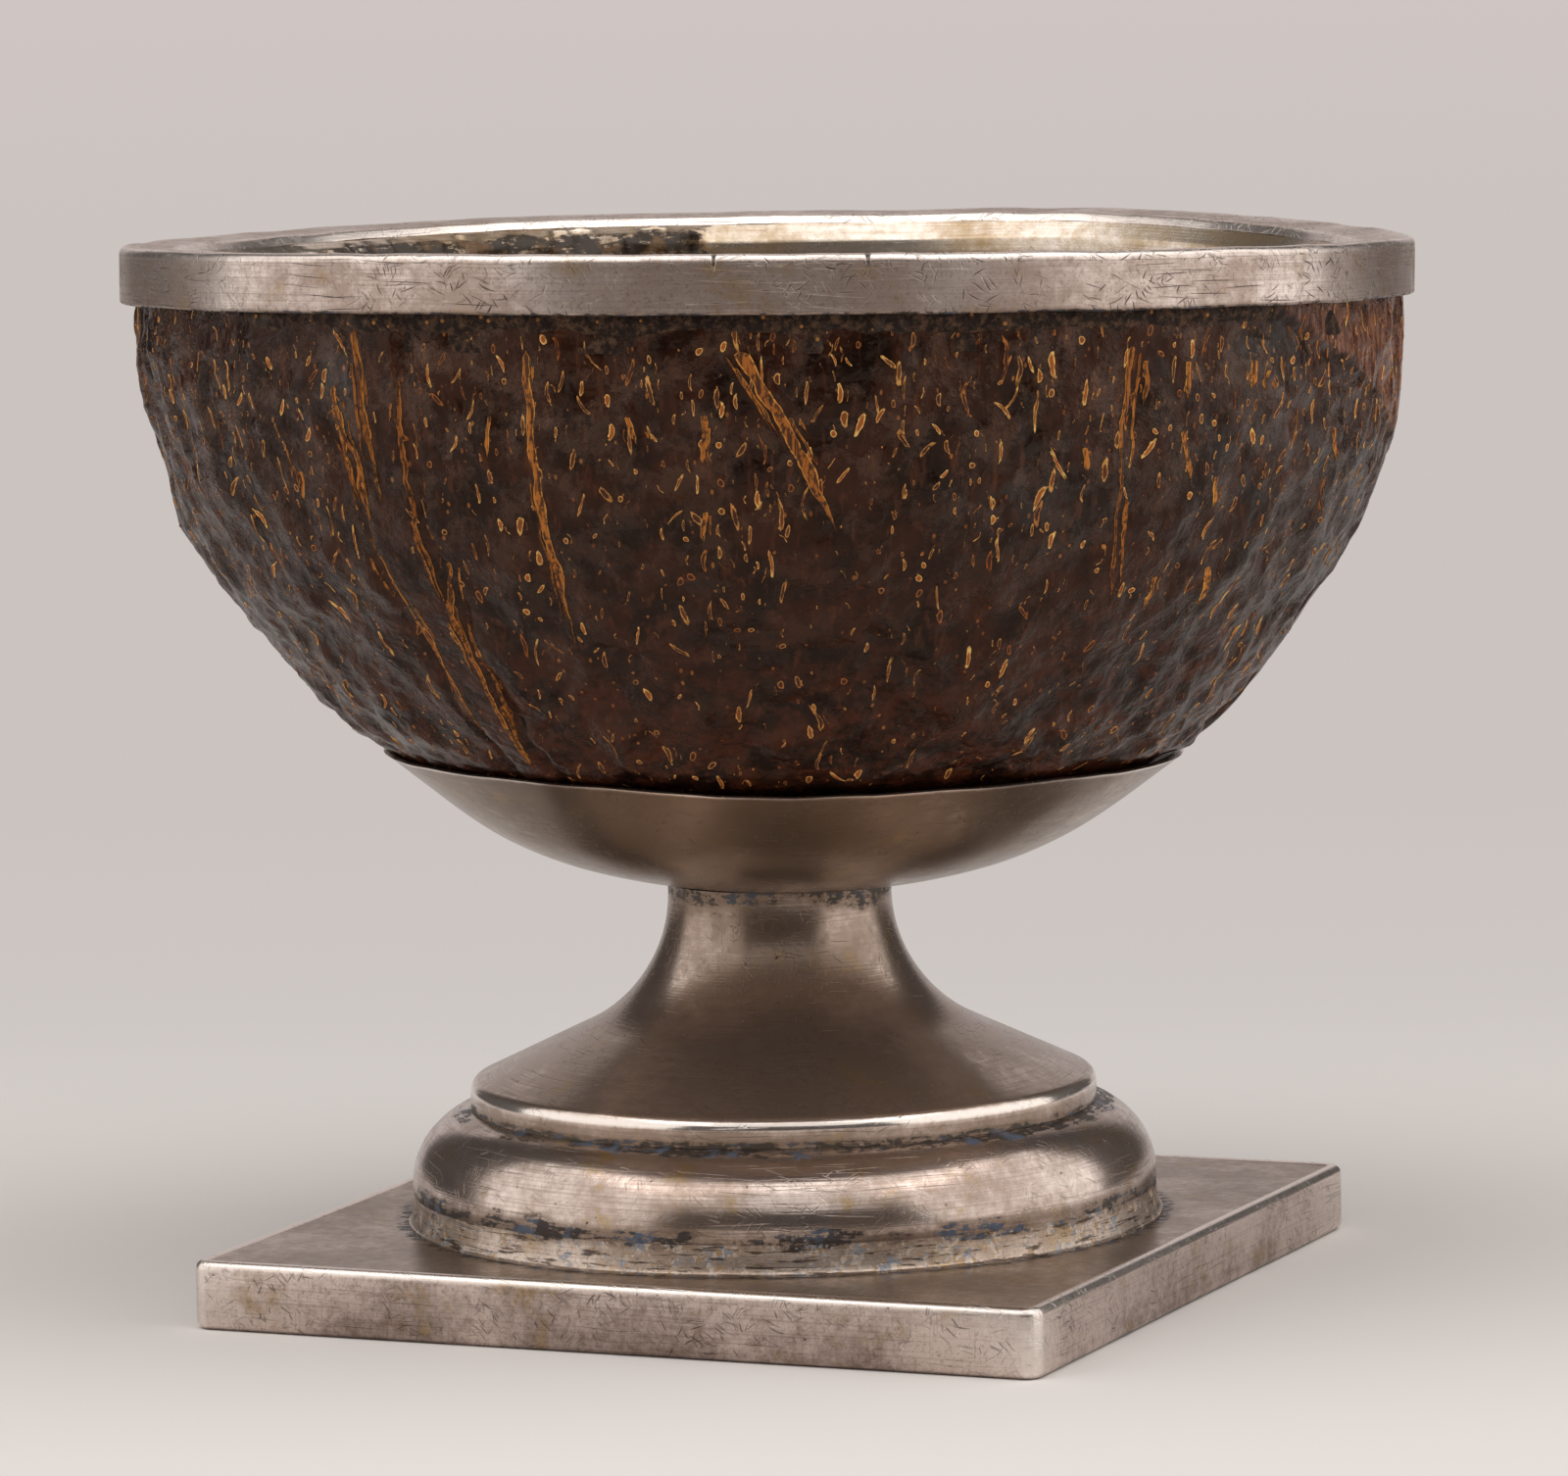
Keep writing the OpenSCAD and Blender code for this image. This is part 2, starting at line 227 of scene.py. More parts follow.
# %% [markdown]
# The bowl of this cup leans. `leaned` moves the points of the shell, the dish and what lies on them:
# all of them dip to the right, and the lower ones also stand a little off the centre of the foot.
# The rim and the lining have dips of their own, further down.

# %% Turned meshes
BOWL_DIP = 0.0119
BOWL_SHIFT = 0.6
SHIFTED_Z = 46
STRAIGHT_Z = 60
MERGE_GAP = 1e-7
SHARP_ANGLE = math.radians(50)


def leaned(points):
    """Points of the bowl, in mm, where the real one lies."""
    points = np.asarray(points, float)
    side = points[..., 0] * camera_right.x + points[..., 1] * camera_right.y
    shift = BOWL_SHIFT * smooth_step(STRAIGHT_Z, SHIFTED_Z, points[..., 2])
    return points + np.stack((shift * camera_right.x, shift * camera_right.y, -BOWL_DIP * side), axis=-1)


def full_turn(steps):
    """Angles of even steps once round the cup, in radians from the camera's side."""
    return np.linspace(-math.pi, math.pi, steps, endpoint=False)


def ring_faces(rows, steps):
    """Faces between rows of points that each run once round; the last row joins the first."""
    index = np.arange(rows * steps).reshape(rows, steps)
    up = np.roll(index, -1, axis=0)
    return np.stack((index, np.roll(index, -1, axis=1), np.roll(up, -1, axis=1), up), axis=-1)


def make_object(name, vertices, faces, uvs=None, values=None):
    """A smooth mesh object from vertices in mm, with a UV map and named values on its points."""
    mesh = bpy.data.meshes.new(name)
    mesh.from_pydata((np.asarray(vertices) * MM).tolist(), [], np.asarray(faces).tolist())
    if uvs is not None:
        layer = mesh.uv_layers.new(name="unrolled")
        layer.data.foreach_set("uv", (np.asarray(uvs) * MM).astype(np.float32).ravel())
    for key, numbers in (values or {}).items():
        attribute = mesh.attributes.new(key, "FLOAT", "POINT")
        attribute.data.foreach_set("value", np.asarray(numbers, np.float32).ravel())
    work = bmesh.new()
    work.from_mesh(mesh)
    bmesh.ops.remove_doubles(work, verts=work.verts, dist=MERGE_GAP)
    bmesh.ops.recalc_face_normals(work, faces=work.faces)
    work.to_mesh(mesh)
    work.free()
    mesh.shade_smooth()
    mesh.set_sharp_from_angle(angle=SHARP_ANGLE)
    item = bpy.data.objects.new(name, mesh)
    bpy.context.scene.collection.objects.link(item)
    return item


def turned(name, outline, shape=None, grime=None, bright_edges=(), turns=full_turn(320), lean=False):
    """Turns a closed outline round the Z axis. `shape` may move points, `grime` says where dirt sits,
    the edges listed are polished and painted with a highlight, and `lean` moves a piece with the bowl."""
    outline = np.asarray(outline, float)
    rows, steps = len(outline), len(turns)
    phi = np.broadcast_to(turns, (rows, steps))
    r = np.repeat(outline[:, :1], steps, axis=1)
    z = np.repeat(outline[:, 1:], steps, axis=1)
    dirt = grime(phi, r, z) if grime else np.zeros((rows, steps))
    wear_and_highlight = np.repeat(outline_wear_and_highlight(outline, bright_edges)[:, None], steps, axis=1)
    if shape:
        r, z = shape(phi, r, z)
    vertices = np.stack((r * np.cos(FACING + phi), r * np.sin(FACING + phi), z), axis=-1)
    if lean:
        vertices = leaned(vertices)
    reach = np.concatenate((turns, [turns[0] + 2 * math.pi])) * outline[:, 0].max()
    hop = np.linalg.norm(np.roll(outline, -1, axis=0) - outline, axis=1)
    length = np.concatenate(([0], np.cumsum(hop)))
    u = np.broadcast_to(np.stack((reach[:-1], reach[1:], reach[1:], reach[:-1]), axis=-1),
                        (rows, steps, 4))
    v = np.stack((length[:-1], length[:-1], length[1:], length[1:]), axis=-1)
    v = np.broadcast_to(v[:, None, :], (rows, steps, 4))
    return make_object(name, vertices.reshape(-1, 3), ring_faces(rows, steps).reshape(-1, 4),
                       np.stack((u, v), axis=-1), {"wear_and_highlight": wear_and_highlight, "grime": np.clip(dirt, 0, 1)})


def noise_field(x, y, z, size, octaves=3, offset=0.0):
    """Soft noise, about -1 to 1, at arrays of places in mm; features are about `size` mm wide."""
    x, y, z = np.broadcast_arrays(x, y, z)
    shift = Vector((offset, offset * 0.7, offset * 1.3))
    flat = [noise.fractal(Vector(p) / size + shift, 0.9, 2.1, octaves)
            for p in zip(x.ravel(), y.ravel(), z.ravel())]
    return np.array(flat).reshape(x.shape)


def round_noise(phi, r, z, size, octaves=3, offset=0.0):
    """The same noise at places that are given as an angle, a radius and a height."""
    return noise_field(r * np.cos(phi), r * np.sin(phi), z, size, octaves, offset)


def dented(amount, size, offset):
    """A shape function for `turned`: slow dents in and out by some mm, as raised silver has."""
    def shape(phi, r, z):
        return r + amount * round_noise(phi, r, z, size, 2, offset), z
    return shape


print("turning tools ready")

# %% [markdown]
# ## Node tools
# A finish is a small program of nodes. Typing every link by hand hides the idea, so `Wire` wraps a
# socket and lets sums be written as sums. Every other node goes through the one method `add`,
# which takes the node type, its settings and its socket values or links.


# %% Sums of sockets
class Wire:
    """A socket that can be used in sums like a plain number."""

    def __init__(self, sheet, socket):
        self.sheet = sheet
        self.socket = socket

    def maths(self, operation, first, second=0.0):
        """One Math node."""
        return self.sheet.add("ShaderNodeMath", {"operation": operation}, {0: first, 1: second})

    def __add__(self, other):
        return self.maths("ADD", self, other)

    def __radd__(self, other):
        return self.maths("ADD", other, self)

    def __sub__(self, other):
        return self.maths("SUBTRACT", self, other)

    def __rsub__(self, other):
        return self.maths("SUBTRACT", other, self)

    def __mul__(self, other):
        return self.maths("MULTIPLY", self, other)

    def __rmul__(self, other):
        return self.maths("MULTIPLY", other, self)

    def __truediv__(self, other):
        return self.maths("DIVIDE", self, other)

    def __pow__(self, other):
        return self.maths("POWER", self, other)

    def most(self, other):
        return self.maths("MAXIMUM", self, other)

    def size(self):
        return self.maths("ABSOLUTE", self)

    def ramp(self, low, high):
        """0 below low, 1 above high and a soft ramp between them."""
        if low > high:
            return 1.0 - self.ramp(high, low)
        return self.sheet.add("ShaderNodeMapRange", {"interpolation_type": "SMOOTHSTEP"},
                              {"Value": self, "From Min": low, "From Max": high})


print("sums of sockets ready")

# %% [markdown]
# A sheet holds the nodes of one tree. Its methods are the few patterns that every finish here is made
# of: clouds, cells, stretched places, and places that noise has pushed about.


# %% Node sheets
class Sheet:
    """The nodes of one tree, for a material or for Geometry Nodes."""

    def __init__(self, tree):
        self.tree = tree

    def add(self, kind, settings=None, values=None, output=0):
        """Adds a node, sets it up, links or sets its sockets and gives one output back as a Wire."""
        node = self.tree.nodes.new(kind)
        for key, value in (settings or {}).items():
            setattr(node, key, value)
        for key, value in (values or {}).items():
            self.plug(node.inputs[key], value)
        return Wire(self, node.outputs[output]) if node.outputs else node

    def plug(self, socket, value):
        """Links a wire to a socket, or sets the socket to a value."""
        if isinstance(value, Wire):
            self.tree.links.new(value.socket, socket)
        else:
            socket.default_value = value

    def other(self, wire, output):
        """Another output of the node that a wire comes from."""
        return Wire(self, wire.socket.node.outputs[output])

    def mixed(self, amount, first, second):
        """A colour between two colours."""
        return self.add("ShaderNodeMix", {"data_type": "RGBA"}, {0: amount, 6: first, 7: second},
                        output=2)

    def scaled(self, vector, amount):
        """A vector times a number."""
        return self.add("ShaderNodeVectorMath", {"operation": "SCALE"}, {0: vector, "Scale": amount})

    def parts(self, vector):
        """The three numbers of a vector."""
        first = self.add("ShaderNodeSeparateXYZ", None, {0: vector})
        return first, self.other(first, "Y"), self.other(first, "Z")

    def upward(self, amount):
        """A vector along Z."""
        return self.add("ShaderNodeCombineXYZ", None, {"Z": amount})

    def jitter(self, scale, detail, **vector):
        """A vector of soft noise, about -0.5 to 0.5 along each axis."""
        push = self.add("ShaderNodeTexNoise", None, {"Scale": scale, "Detail": detail, **vector},
                        output="Color")
        return self.add("ShaderNodeVectorMath", {"operation": "SUBTRACT"}, {0: push, 1: (0.5, 0.5, 0.5)})

    def stretched(self, vector, size, turn=0.0, place=(0.0, 0.0, 0.0)):
        """A vector in mm, moved, turned about Z by some degrees and divided by a size for each axis."""
        moved = self.add("ShaderNodeMapping", None,
                         {"Vector": vector, "Location": place, "Rotation": (0, 0, math.radians(turn))})
        return self.add("ShaderNodeMapping", None,
                        {"Vector": moved, "Scale": tuple(1 / s for s in size)})

    def swayed(self, vector, size, amount):
        """A vector pushed about by soft noise, so that what is straight along it turns into curves."""
        push = self.jitter(1 / size, 1.0, Vector=vector)
        return self.add("ShaderNodeVectorMath", {"operation": "MULTIPLY_ADD"},
                        {0: push, 1: (amount, amount, amount), 2: vector})

    def cells(self, vector, size, flat=False):
        """Cells about `size` mm wide: the distance to the middle of each, and two random numbers."""
        distance = self.add("ShaderNodeTexVoronoi", {"voronoi_dimensions": "2D" if flat else "3D"},
                            {"Vector": vector, "Scale": 1 / size}, output="Distance")
        first = self.add("ShaderNodeSeparateColor", None, {"Color": self.other(distance, "Color")},
                         output="Red")
        return distance, first, self.other(first, "Green")

    def cloud(self, vector, size, detail=2.0, rough=0.5):
        """Noise from 0 to 1 with features about `size` mm wide."""
        return self.add("ShaderNodeTexNoise", None,
                        {"Vector": vector, "Scale": 1 / size, "Detail": detail, "Roughness": rough})


print("node sheets ready")

# %% [markdown]
# A finish is a sheet with a Principled shader. It reads places in mm, because a maker thinks in mm,
# and it can read the values that were stored on the mesh.


# %% Finishes
class Finish(Sheet):
    """A material: a Principled shader and the nodes that feed it."""

    def __init__(self, name, **constants):
        self.material = bpy.data.materials.new(name)
        self.material.use_nodes = True
        super().__init__(self.material.node_tree)
        self.shader = self.tree.nodes["Principled BSDF"]
        for key, value in constants.items():
            self.shader.inputs[key.replace("_", " ")].default_value = value
        place = self.add("ShaderNodeTexCoord", output="Object")
        self.place = self.scaled(place, 1 / MM)

    def unrolled(self):
        """The piece's own UV map, in mm."""
        return self.scaled(self.add("ShaderNodeUVMap", {"uv_map": "unrolled"}), 1 / MM)

    def value(self, name):
        """A value stored on the mesh's points."""
        return self.add("ShaderNodeAttribute", {"attribute_name": name}, output="Fac")

    def feed(self, **inputs):
        """Feeds the shader's sockets; a name has an underscore where the socket's name has a space."""
        for key, wire in inputs.items():
            self.plug(self.shader.inputs[key.replace("_", " ")], wire)

    def relief(self, height, depth_mm):
        """Feeds a height, from 0 to 1, to the shader as a fine relief of some depth."""
        bump = self.add("ShaderNodeBump", None, {"Height": height, "Distance": depth_mm * MM})
        self.plug(self.shader.inputs["Normal"], bump)


def paint(red, green, blue):
    """A colour as seen on a screen, 0 to 255, for a shader socket."""
    def linear(level):
        share = level / 255
        return share / 12.92 if share <= 0.04045 else ((share + 0.055) / 1.055) ** 2.4
    return linear(red), linear(green), linear(blue), 1.0


def show(piece, material, slot, *nodes):
    """Gives a piece its material and lets it ride the cup in place of its CAD nodes."""
    if piece.data.materials:
        piece.data.materials[0] = material
    else:
        piece.data.materials.append(material)
    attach(piece, "root")
    if nodes:
        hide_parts(*nodes)
    print(f"{piece.name}: {len(piece.data.polygons)} faces")


print("finishes ready")

# %% [markdown]
# ## Silver
# Old silver is never one grey. Polishing keeps the edges bright, while a warm brown film grows on
# the flats and nearly black sulphide fills the corners. The near-white tone on the edges is partly a
# painted highlight, standing in for the light that their rounding catches. The function mixes these
# by the mesh's values for bright edges and for grime, and by soft clouds of noise. A scratch is a very
# long and thin Voronoi cell: the texture is squeezed along one axis and only the middle of some cells
# is kept. Short ticks are the same thing in small cells, on coordinates that noise has bent, so that
# each one curls.

# %% Silver
BLACK_FILM = paint(38, 30, 27)
BLUE_FILM = paint(84, 101, 124)
BROWN_FILM = paint(104, 80, 58)
YELLOW_FILM = paint(170, 142, 92)
# Edge tone, brighter than clean silver: partly polish, partly a painted highlight of the edge's rounding
BRIGHT_EDGE = paint(240, 230, 222)
LINE_TURNS = (1.5, -2.0, 4.0)
TICK_TURNS = (70, 121, 38, 152, 12)


def scratches(finish, flat, turn, cell, share, width, place=0.0):
    """A mask of thin scratches at an angle: one in each long cell, kept for a share of the cells."""
    squeezed = finish.stretched(flat, (cell[0], cell[1], 1.0), turn, (place, place * 0.37, 0.0))
    distance, pick, depth = finish.cells(squeezed, 1.0, flat=True)
    line = distance.ramp(width / cell[1], 0.4 * width / cell[1])
    return line * pick.ramp(share + 0.02, share) * (0.45 + 0.55 * depth)


def wounds(finish, flat, ticks, lines):
    """Everything that scratched a piece: long lines, mostly level, and patches of short ticks."""
    cuts = scratches(finish, flat, 24.0, (24.0, 1.0), 0.3, 0.05, 3.7) * lines
    for i, turn in enumerate(LINE_TURNS):
        cuts = cuts.most(scratches(finish, flat, turn, (34.0, 0.5), 0.4, 0.045, 4.1 * i) * lines)
    crowd = finish.cloud(finish.place, 8.0, 3.0).ramp(0.34, 0.56) * ticks
    bent = finish.swayed(flat, 5.0, 2.6)
    for i, turn in enumerate(TICK_TURNS):
        cell = (2.6 + 0.7 * i, 0.42)
        cuts = cuts.most(scratches(finish, bent, turn, cell, 0.34, 0.075, 5.3 * i + 1.9) * crowd)
    return cuts


def crusted(finish, tone, amount):
    """A tone with flakes of old cleaning paste over it, drawn out along the ring, and where they lie."""
    spot = finish.place
    _, first, second = finish.cells(finish.swayed(spot, 0.6, 0.8), 0.45)
    flakes = finish.mixed(first.ramp(0.4, 0.8), paint(216, 200, 184), paint(118, 136, 156))
    flakes = finish.mixed(second.ramp(0.74, 0.78), flakes, paint(166, 126, 74))
    lying = finish.cloud(spot, 1.6, 5.0, 0.75).ramp(0.5, 0.56) * amount
    along_ring = finish.stretched(finish.unrolled(), (4.0, 0.5, 1.0))
    smears = finish.cloud(along_ring, 1.0, 4.0, 0.7).ramp(0.54, 0.62)
    tone = finish.mixed(lying * 0.6, tone, flakes)
    return finish.mixed(smears * amount * 0.85, tone, paint(62, 46, 36)), lying


def silver(name, pale, film, film_share, ticks=1.0, lines=1.0, turning=1.0, stain=0.4, crust=0.0,
           rub_and_highlight=0.8, flat=None, rough=0.3, grain=1.0, dull=0.0, soil=BLACK_FILM, patina=BLUE_FILM,
           blue=0.45):
    """A worn silver finish from a pale and a filmed tone, more or less filmed, scratched and stained."""
    finish = Finish(name)
    spot = finish.place
    flat = flat(finish) if flat else finish.unrolled()
    wear_and_highlight = finish.value("wear_and_highlight")
    grime = finish.value("grime")
    clouds = finish.cloud(spot, 9.0, 4.0, 0.6)
    fine = finish.cloud(spot, 1.0, 4.0, 0.7)
    marks = finish.cloud(finish.stretched(flat, (18.0, 0.2, 1.0)), 1.0, 2.0, 0.6)
    brush = finish.cloud(finish.stretched(flat, (0.16, 3.0, 1.0)), 1.0, 2.0, 0.6)
    drawn = finish.cloud(finish.stretched(flat, (2.6, 0.5, 1.0)), 1.0, 5.0, 0.7) * 0.6 + fine * 0.4
    filmed = (clouds * 0.55 + fine * 0.3 + marks * 0.15 * turning - wear_and_highlight * 0.3)
    filmed = filmed.ramp(0.7 - film_share, 1.0 - film_share)
    tone = finish.mixed(filmed, pale, film)
    lined = (marks.ramp(0.5, 0.75) * turning).most(brush.ramp(0.55, 0.75) * ticks)
    tone = finish.mixed(lined * 0.55, tone, film)
    tone = finish.mixed(finish.cloud(spot, 4.5, 4.0, 0.7).ramp(0.56, 0.7) * stain, tone, YELLOW_FILM)
    speckle = finish.cloud(spot, 0.26, 2.0).ramp(0.56, 0.68)
    tone = finish.mixed(speckle * grain * 0.35, tone, BROWN_FILM)
    cuts = wounds(finish, flat, ticks, lines)
    pits, _, _ = finish.cells(spot, 1.7)
    pits = pits.ramp(0.1, 0.04) * fine.ramp(0.48, 0.6)
    halo = (grime + drawn * 0.5 - 0.25).ramp(0.12, 0.6)
    dark = (grime * (0.3 + drawn.ramp(0.36, 0.66))).ramp(0.42, 0.58)
    bloom = finish.cloud(spot, 2.6, 3.0).ramp(0.5, 0.62)
    tone = finish.mixed(halo * 0.6, tone, BROWN_FILM)
    tone = finish.mixed((cuts * 0.9).most(pits * 0.8), tone, BLACK_FILM)
    tone = finish.mixed(dark * 0.92, tone, finish.mixed(bloom * blue, soil, patina))
    metal = (1.0 - dull) - filmed * 0.16 - halo * 0.2 - dark * 0.5
    if crust:
        tone, lying = crusted(finish, tone, crust)
        metal = metal - lying * 0.4
    # Edges go towards the bright edge tone: rubbed bright by polishing, and partly a painted highlight
    rubbed_and_highlit = (wear_and_highlight - fine * 0.5).ramp(0.05, 0.7)
    tone = finish.mixed(rubbed_and_highlit * rub_and_highlight, tone, BRIGHT_EDGE)
    sheen = (fine - 0.5) * 0.12 * grain + (brush + marks * turning - 1.0) * 0.06
    finish.feed(Base_Color=tone, Metallic=metal,
                Roughness=rough + filmed * 0.08 + sheen + cuts * 0.15 + dark * 0.25)
    relief = marks * 0.3 * turning + brush * 0.2 * ticks + fine * 0.35 * grain
    finish.relief(relief - cuts * 0.7 - pits * 0.8 + dark * 0.3, 0.035)
    return finish.material


print("silver ready")

# %% [markdown]
# ## Coconut shell
# The shell is the piece that the eye goes to. Its outside was scraped by hand, so it is lumpy, and
# three smooth sutures run down it from the mouth. Noise that is stretched along the height gives
# the wrinkles near the sides. A few flat cuts are glossy: a value on the mesh says where they are,
# and it feeds the coat. The mesh is fine where the shell shows and coarse where it is hidden.

# %% Coconut shell
SUTURE_PHI = math.radians(-36)
SUTURE_SPACING = 2 * math.pi / 3
SUTURE_HALF_W = 2.5
SUTURE_H = 0.3
SKIN_EDGE_PHI = math.radians(54.7)
SKIN_EDGE_Z = 82.6
SKIN_EDGE_SLOPE = (0.364, 0.931)
SKIN_H = 0.3
SKIN_START = np.radians((50, 53))
SKIN_END = np.radians((122, 104))


def shell_place(z):
    """Radius and slope of the plain shell at a height: the way out, as radius and height."""
    z = np.asarray(z, float)
    below = np.clip((EQUATOR_Z - z) / SHELL_DEPTH, 0, 0.9999)
    r = SHELL_R * np.sqrt(1 - below ** 2)
    out_r = r / SHELL_R ** 2
    out_z = -below / SHELL_DEPTH
    size = np.hypot(out_r, out_z)
    return r, out_r / size, out_z / size


def suture_away(phi, r, z):
    """Distance in mm to the nearest suture, which wanders a little on its way down."""
    wander = noise_field(0 * z, 0 * z, z, 14.0, 2, 4.0) * 0.5
    away = (phi - SUTURE_PHI + SUTURE_SPACING / 2) % SUTURE_SPACING - SUTURE_SPACING / 2
    return away * r + wander


def skin_patch(phi, r, z):
    """Where the outer skin was left on the shell: a patch under the band with a slanting edge."""
    ragged = 0.35 * noise_field(phi * r, z, 0 * z, 2.5, 3, 13.0)
    past_edge = (phi - SKIN_EDGE_PHI) * r * SKIN_EDGE_SLOPE[0] + (z - SKIN_EDGE_Z) * SKIN_EDGE_SLOPE[1]
    past_edge = past_edge + ragged
    sides = smooth_step(*SKIN_START, phi) * smooth_step(*SKIN_END, phi)
    return smooth_step(-0.15, 0.15, past_edge) * sides


def shell_relief(phi, r, z):
    """Height of the scraped surface over the plain shell, in mm."""
    lumps = round_noise(phi, r, z * 0.8, 5.0)
    broad = round_noise(phi, r, z, 21.0, 2, 7.0)
    wrinkle = round_noise(phi, r, z * 0.12, 2.4, 3, 11.0)
    side = smooth_step(math.radians(25), math.radians(70), np.abs(phi))
    fine = round_noise(phi, r, z, 1.9, 2, 5.0)
    height = (0.64 - 0.04 * side) * lumps + 0.2 * broad + 0.12 * fine
    height = height + 0.3 * wrinkle * (0.15 + 0.85 * side)
    away = np.abs(suture_away(phi, r, z))
    half = SUTURE_HALF_W * r / SHELL_R + round_noise(phi, r, z, 4.0, 2, 17.0) * 0.35
    strip = smooth_step(half + 0.35, half - 0.35, away)
    height = height * (1 - 0.7 * strip) + SUTURE_H * strip - 0.3 * bump_at(away, half + 0.7, 0.45)
    flatter = smooth_step(0.6, 1.0, np.sin(phi)) * smooth_step(73, 79, z)
    height = height + SKIN_H * skin_patch(phi, r, z) - 0.35 * flatter
    drawn_in = 0.3 + 0.55 * bump_at(z, 57, 5.5)
    shown = smooth_step(BAND_Z + 0.4, BAND_Z - 2.2, z)
    bedded = smooth_step(CALYX_Z + 1.6, CALYX_Z - 0.6, z)
    return height * (0.25 + 0.75 * shown) * (1 - 0.8 * bedded) - drawn_in - 0.25 * bedded


print("shell surface ready")

# %% [markdown]
# The mesh is one closed outline, up the outside and down the inside, turned round the axis. Only its
# outer rows are moved by the relief, because the lining hides the inside.


# %% Shell mesh
def shell_outline():
    """Closed outline of the shell: up the outside and down the inside."""
    hole_turn = math.asin(STUD_HOLE_R / SHELL_R)
    hidden = np.linspace(hole_turn, CALYX_TURN - 0.08, 9, endpoint=False)
    showing = np.linspace(CALYX_TURN - 0.08, math.pi / 2, 112)
    turns = np.concatenate((hidden, showing))
    outside = np.column_stack((SHELL_R * np.sin(turns), EQUATOR_Z - SHELL_DEPTH * np.cos(turns)))
    brow = [(SHELL_R, EQUATOR_Z + step) for step in np.arange(0.45, LIP_Z - EQUATOR_Z - 0.3, 0.45)]
    top = [(SHELL_R, LIP_Z - 0.3), (SHELL_R - SHELL_T, LIP_Z - 1.2)]
    back = np.linspace(math.pi / 2, math.asin(STUD_HOLE_R / (SHELL_R - SHELL_T)), 9)
    inside = np.column_stack(((SHELL_R - SHELL_T) * np.sin(back),
                              EQUATOR_Z - (SHELL_DEPTH - SHELL_T) * np.cos(back)))
    return np.concatenate((outside, brow, top, inside)), len(outside) + len(brow)


shell_line, outer_rows = shell_outline()


def scraped(phi, r, z):
    """Moves the outer rows of the shell out by the relief, and leaves the inside plain."""
    plain_r, out_r, out_z = shell_place(z)
    lift = shell_relief(phi, plain_r, z)
    outer = (np.arange(len(r)) < outer_rows)[:, None]
    return r + outer * lift * out_r, z + outer * lift * out_z


SHELL_TURNS = full_turn(600)
shell = turned("shell", shell_line, scraped, turns=SHELL_TURNS, lean=True)
print(f"shell built with {len(shell.data.vertices)} points")

# %% [markdown]
# Some things differ from place to place on the shell: how thick the fibre ends stand, where the skin
# was left on, and where the knife left glossy planes. Numbers on the mesh's points keep them, and the
# finish and the scattered fibres read them from there.

# %% Values on the shell
CLEAN_START = np.radians((-125, -105))
CLEAN_END = np.radians((-49, -55))
# Glossy planes: angle, height, half their width in degrees and half their height
FACETS = ((50, 75, 9, 7), (-39.7, 80, 2, 3.5), (24, 71, 6, 4))


def shell_angles(item):
    """Angle from the camera's side, radius and height of each point of a mesh, in radians and mm."""
    co = np.zeros(len(item.data.vertices) * 3, np.float32)
    item.data.vertices.foreach_get("co", co)
    x, y, z = co.reshape(-1, 3).T / MM
    phi = (np.arctan2(y, x) - FACING + math.pi) % (2 * math.pi) - math.pi
    return phi, np.hypot(x, y), z


def clean_side(phi):
    """Where no putty was left under the band: the left side of the cup, from 0 to 1."""
    return smooth_step(*CLEAN_START, phi) * smooth_step(*CLEAN_END, phi)


def facet_gloss(phi, r, z):
    """Where the knife left smooth, glossy planes on the shell, from 0 to 1."""
    return sum(bump_at(np.degrees(phi), turn, half_turn) * bump_at(z, height, half_height)
               for turn, height, half_turn, half_height in FACETS)


def fibre_density(phi, r, z):
    """How thick the fibre ends stand on the shell, from 0 to 1."""
    outside = r > SHELL_R * np.sqrt(np.clip(1 - ((EQUATOR_Z - z) / SHELL_DEPTH) ** 2, 0, 1)) - 2.2
    density = 0.45 + 0.55 * smooth_step(60, 80, z)
    density = density * (0.85 + 0.55 * round_noise(phi, r, z, 9.0, 2, 23.0))
    density = density * (0.35 + 0.65 * smooth_step(2.0, 3.4, np.abs(suture_away(phi, r, z))))
    density = density * smooth_step(CALYX_Z + 0.3, CALYX_Z + 1.0, z)
    clean_top = clean_side(phi) * smooth_step(BAND_Z + 0.2, BAND_Z - 0.4, z)
    density = density * np.maximum(clean_top, smooth_step(BAND_Z - 0.6, BAND_Z - 2.0, z))
    return np.clip(density, 0, 1) * outside


def store(item, name, numbers):
    """Keeps a number for each point of an object's mesh."""
    attribute = item.data.attributes.new(name, "FLOAT", "POINT")
    attribute.data.foreach_set("value", np.asarray(numbers, np.float32))


shell_spots = shell_angles(shell)
store(shell, "fibre_density", fibre_density(*shell_spots))
store(shell, "skin", skin_patch(*shell_spots))
store(shell, "facet", facet_gloss(*shell_spots))
print("fibre density, skin and facets stored")

# %% [markdown]
# The shell is a mottled brown, nearly black, with streaks along its height and tiny specks of fibre.
# What the scraper left dull is paler, more so towards the top, and this paler tone is partly a
# painted sheen. Towards the dish the brown turns reddish.

# %% Shell finish
shell_finish = Finish("coconut_shell", Specular_IOR_Level=0.24, Specular_Tint=paint(236, 206, 186),
                      Coat_Roughness=0.22)
spot = shell_finish.place
along = shell_finish.stretched(spot, (1.0, 1.0, 7.0))
_, _, height_z = shell_finish.parts(spot)
grain = shell_finish.cloud(spot, 1.3, 2.0)
streaks = shell_finish.cloud(along, 0.9, 3.0, 0.6)
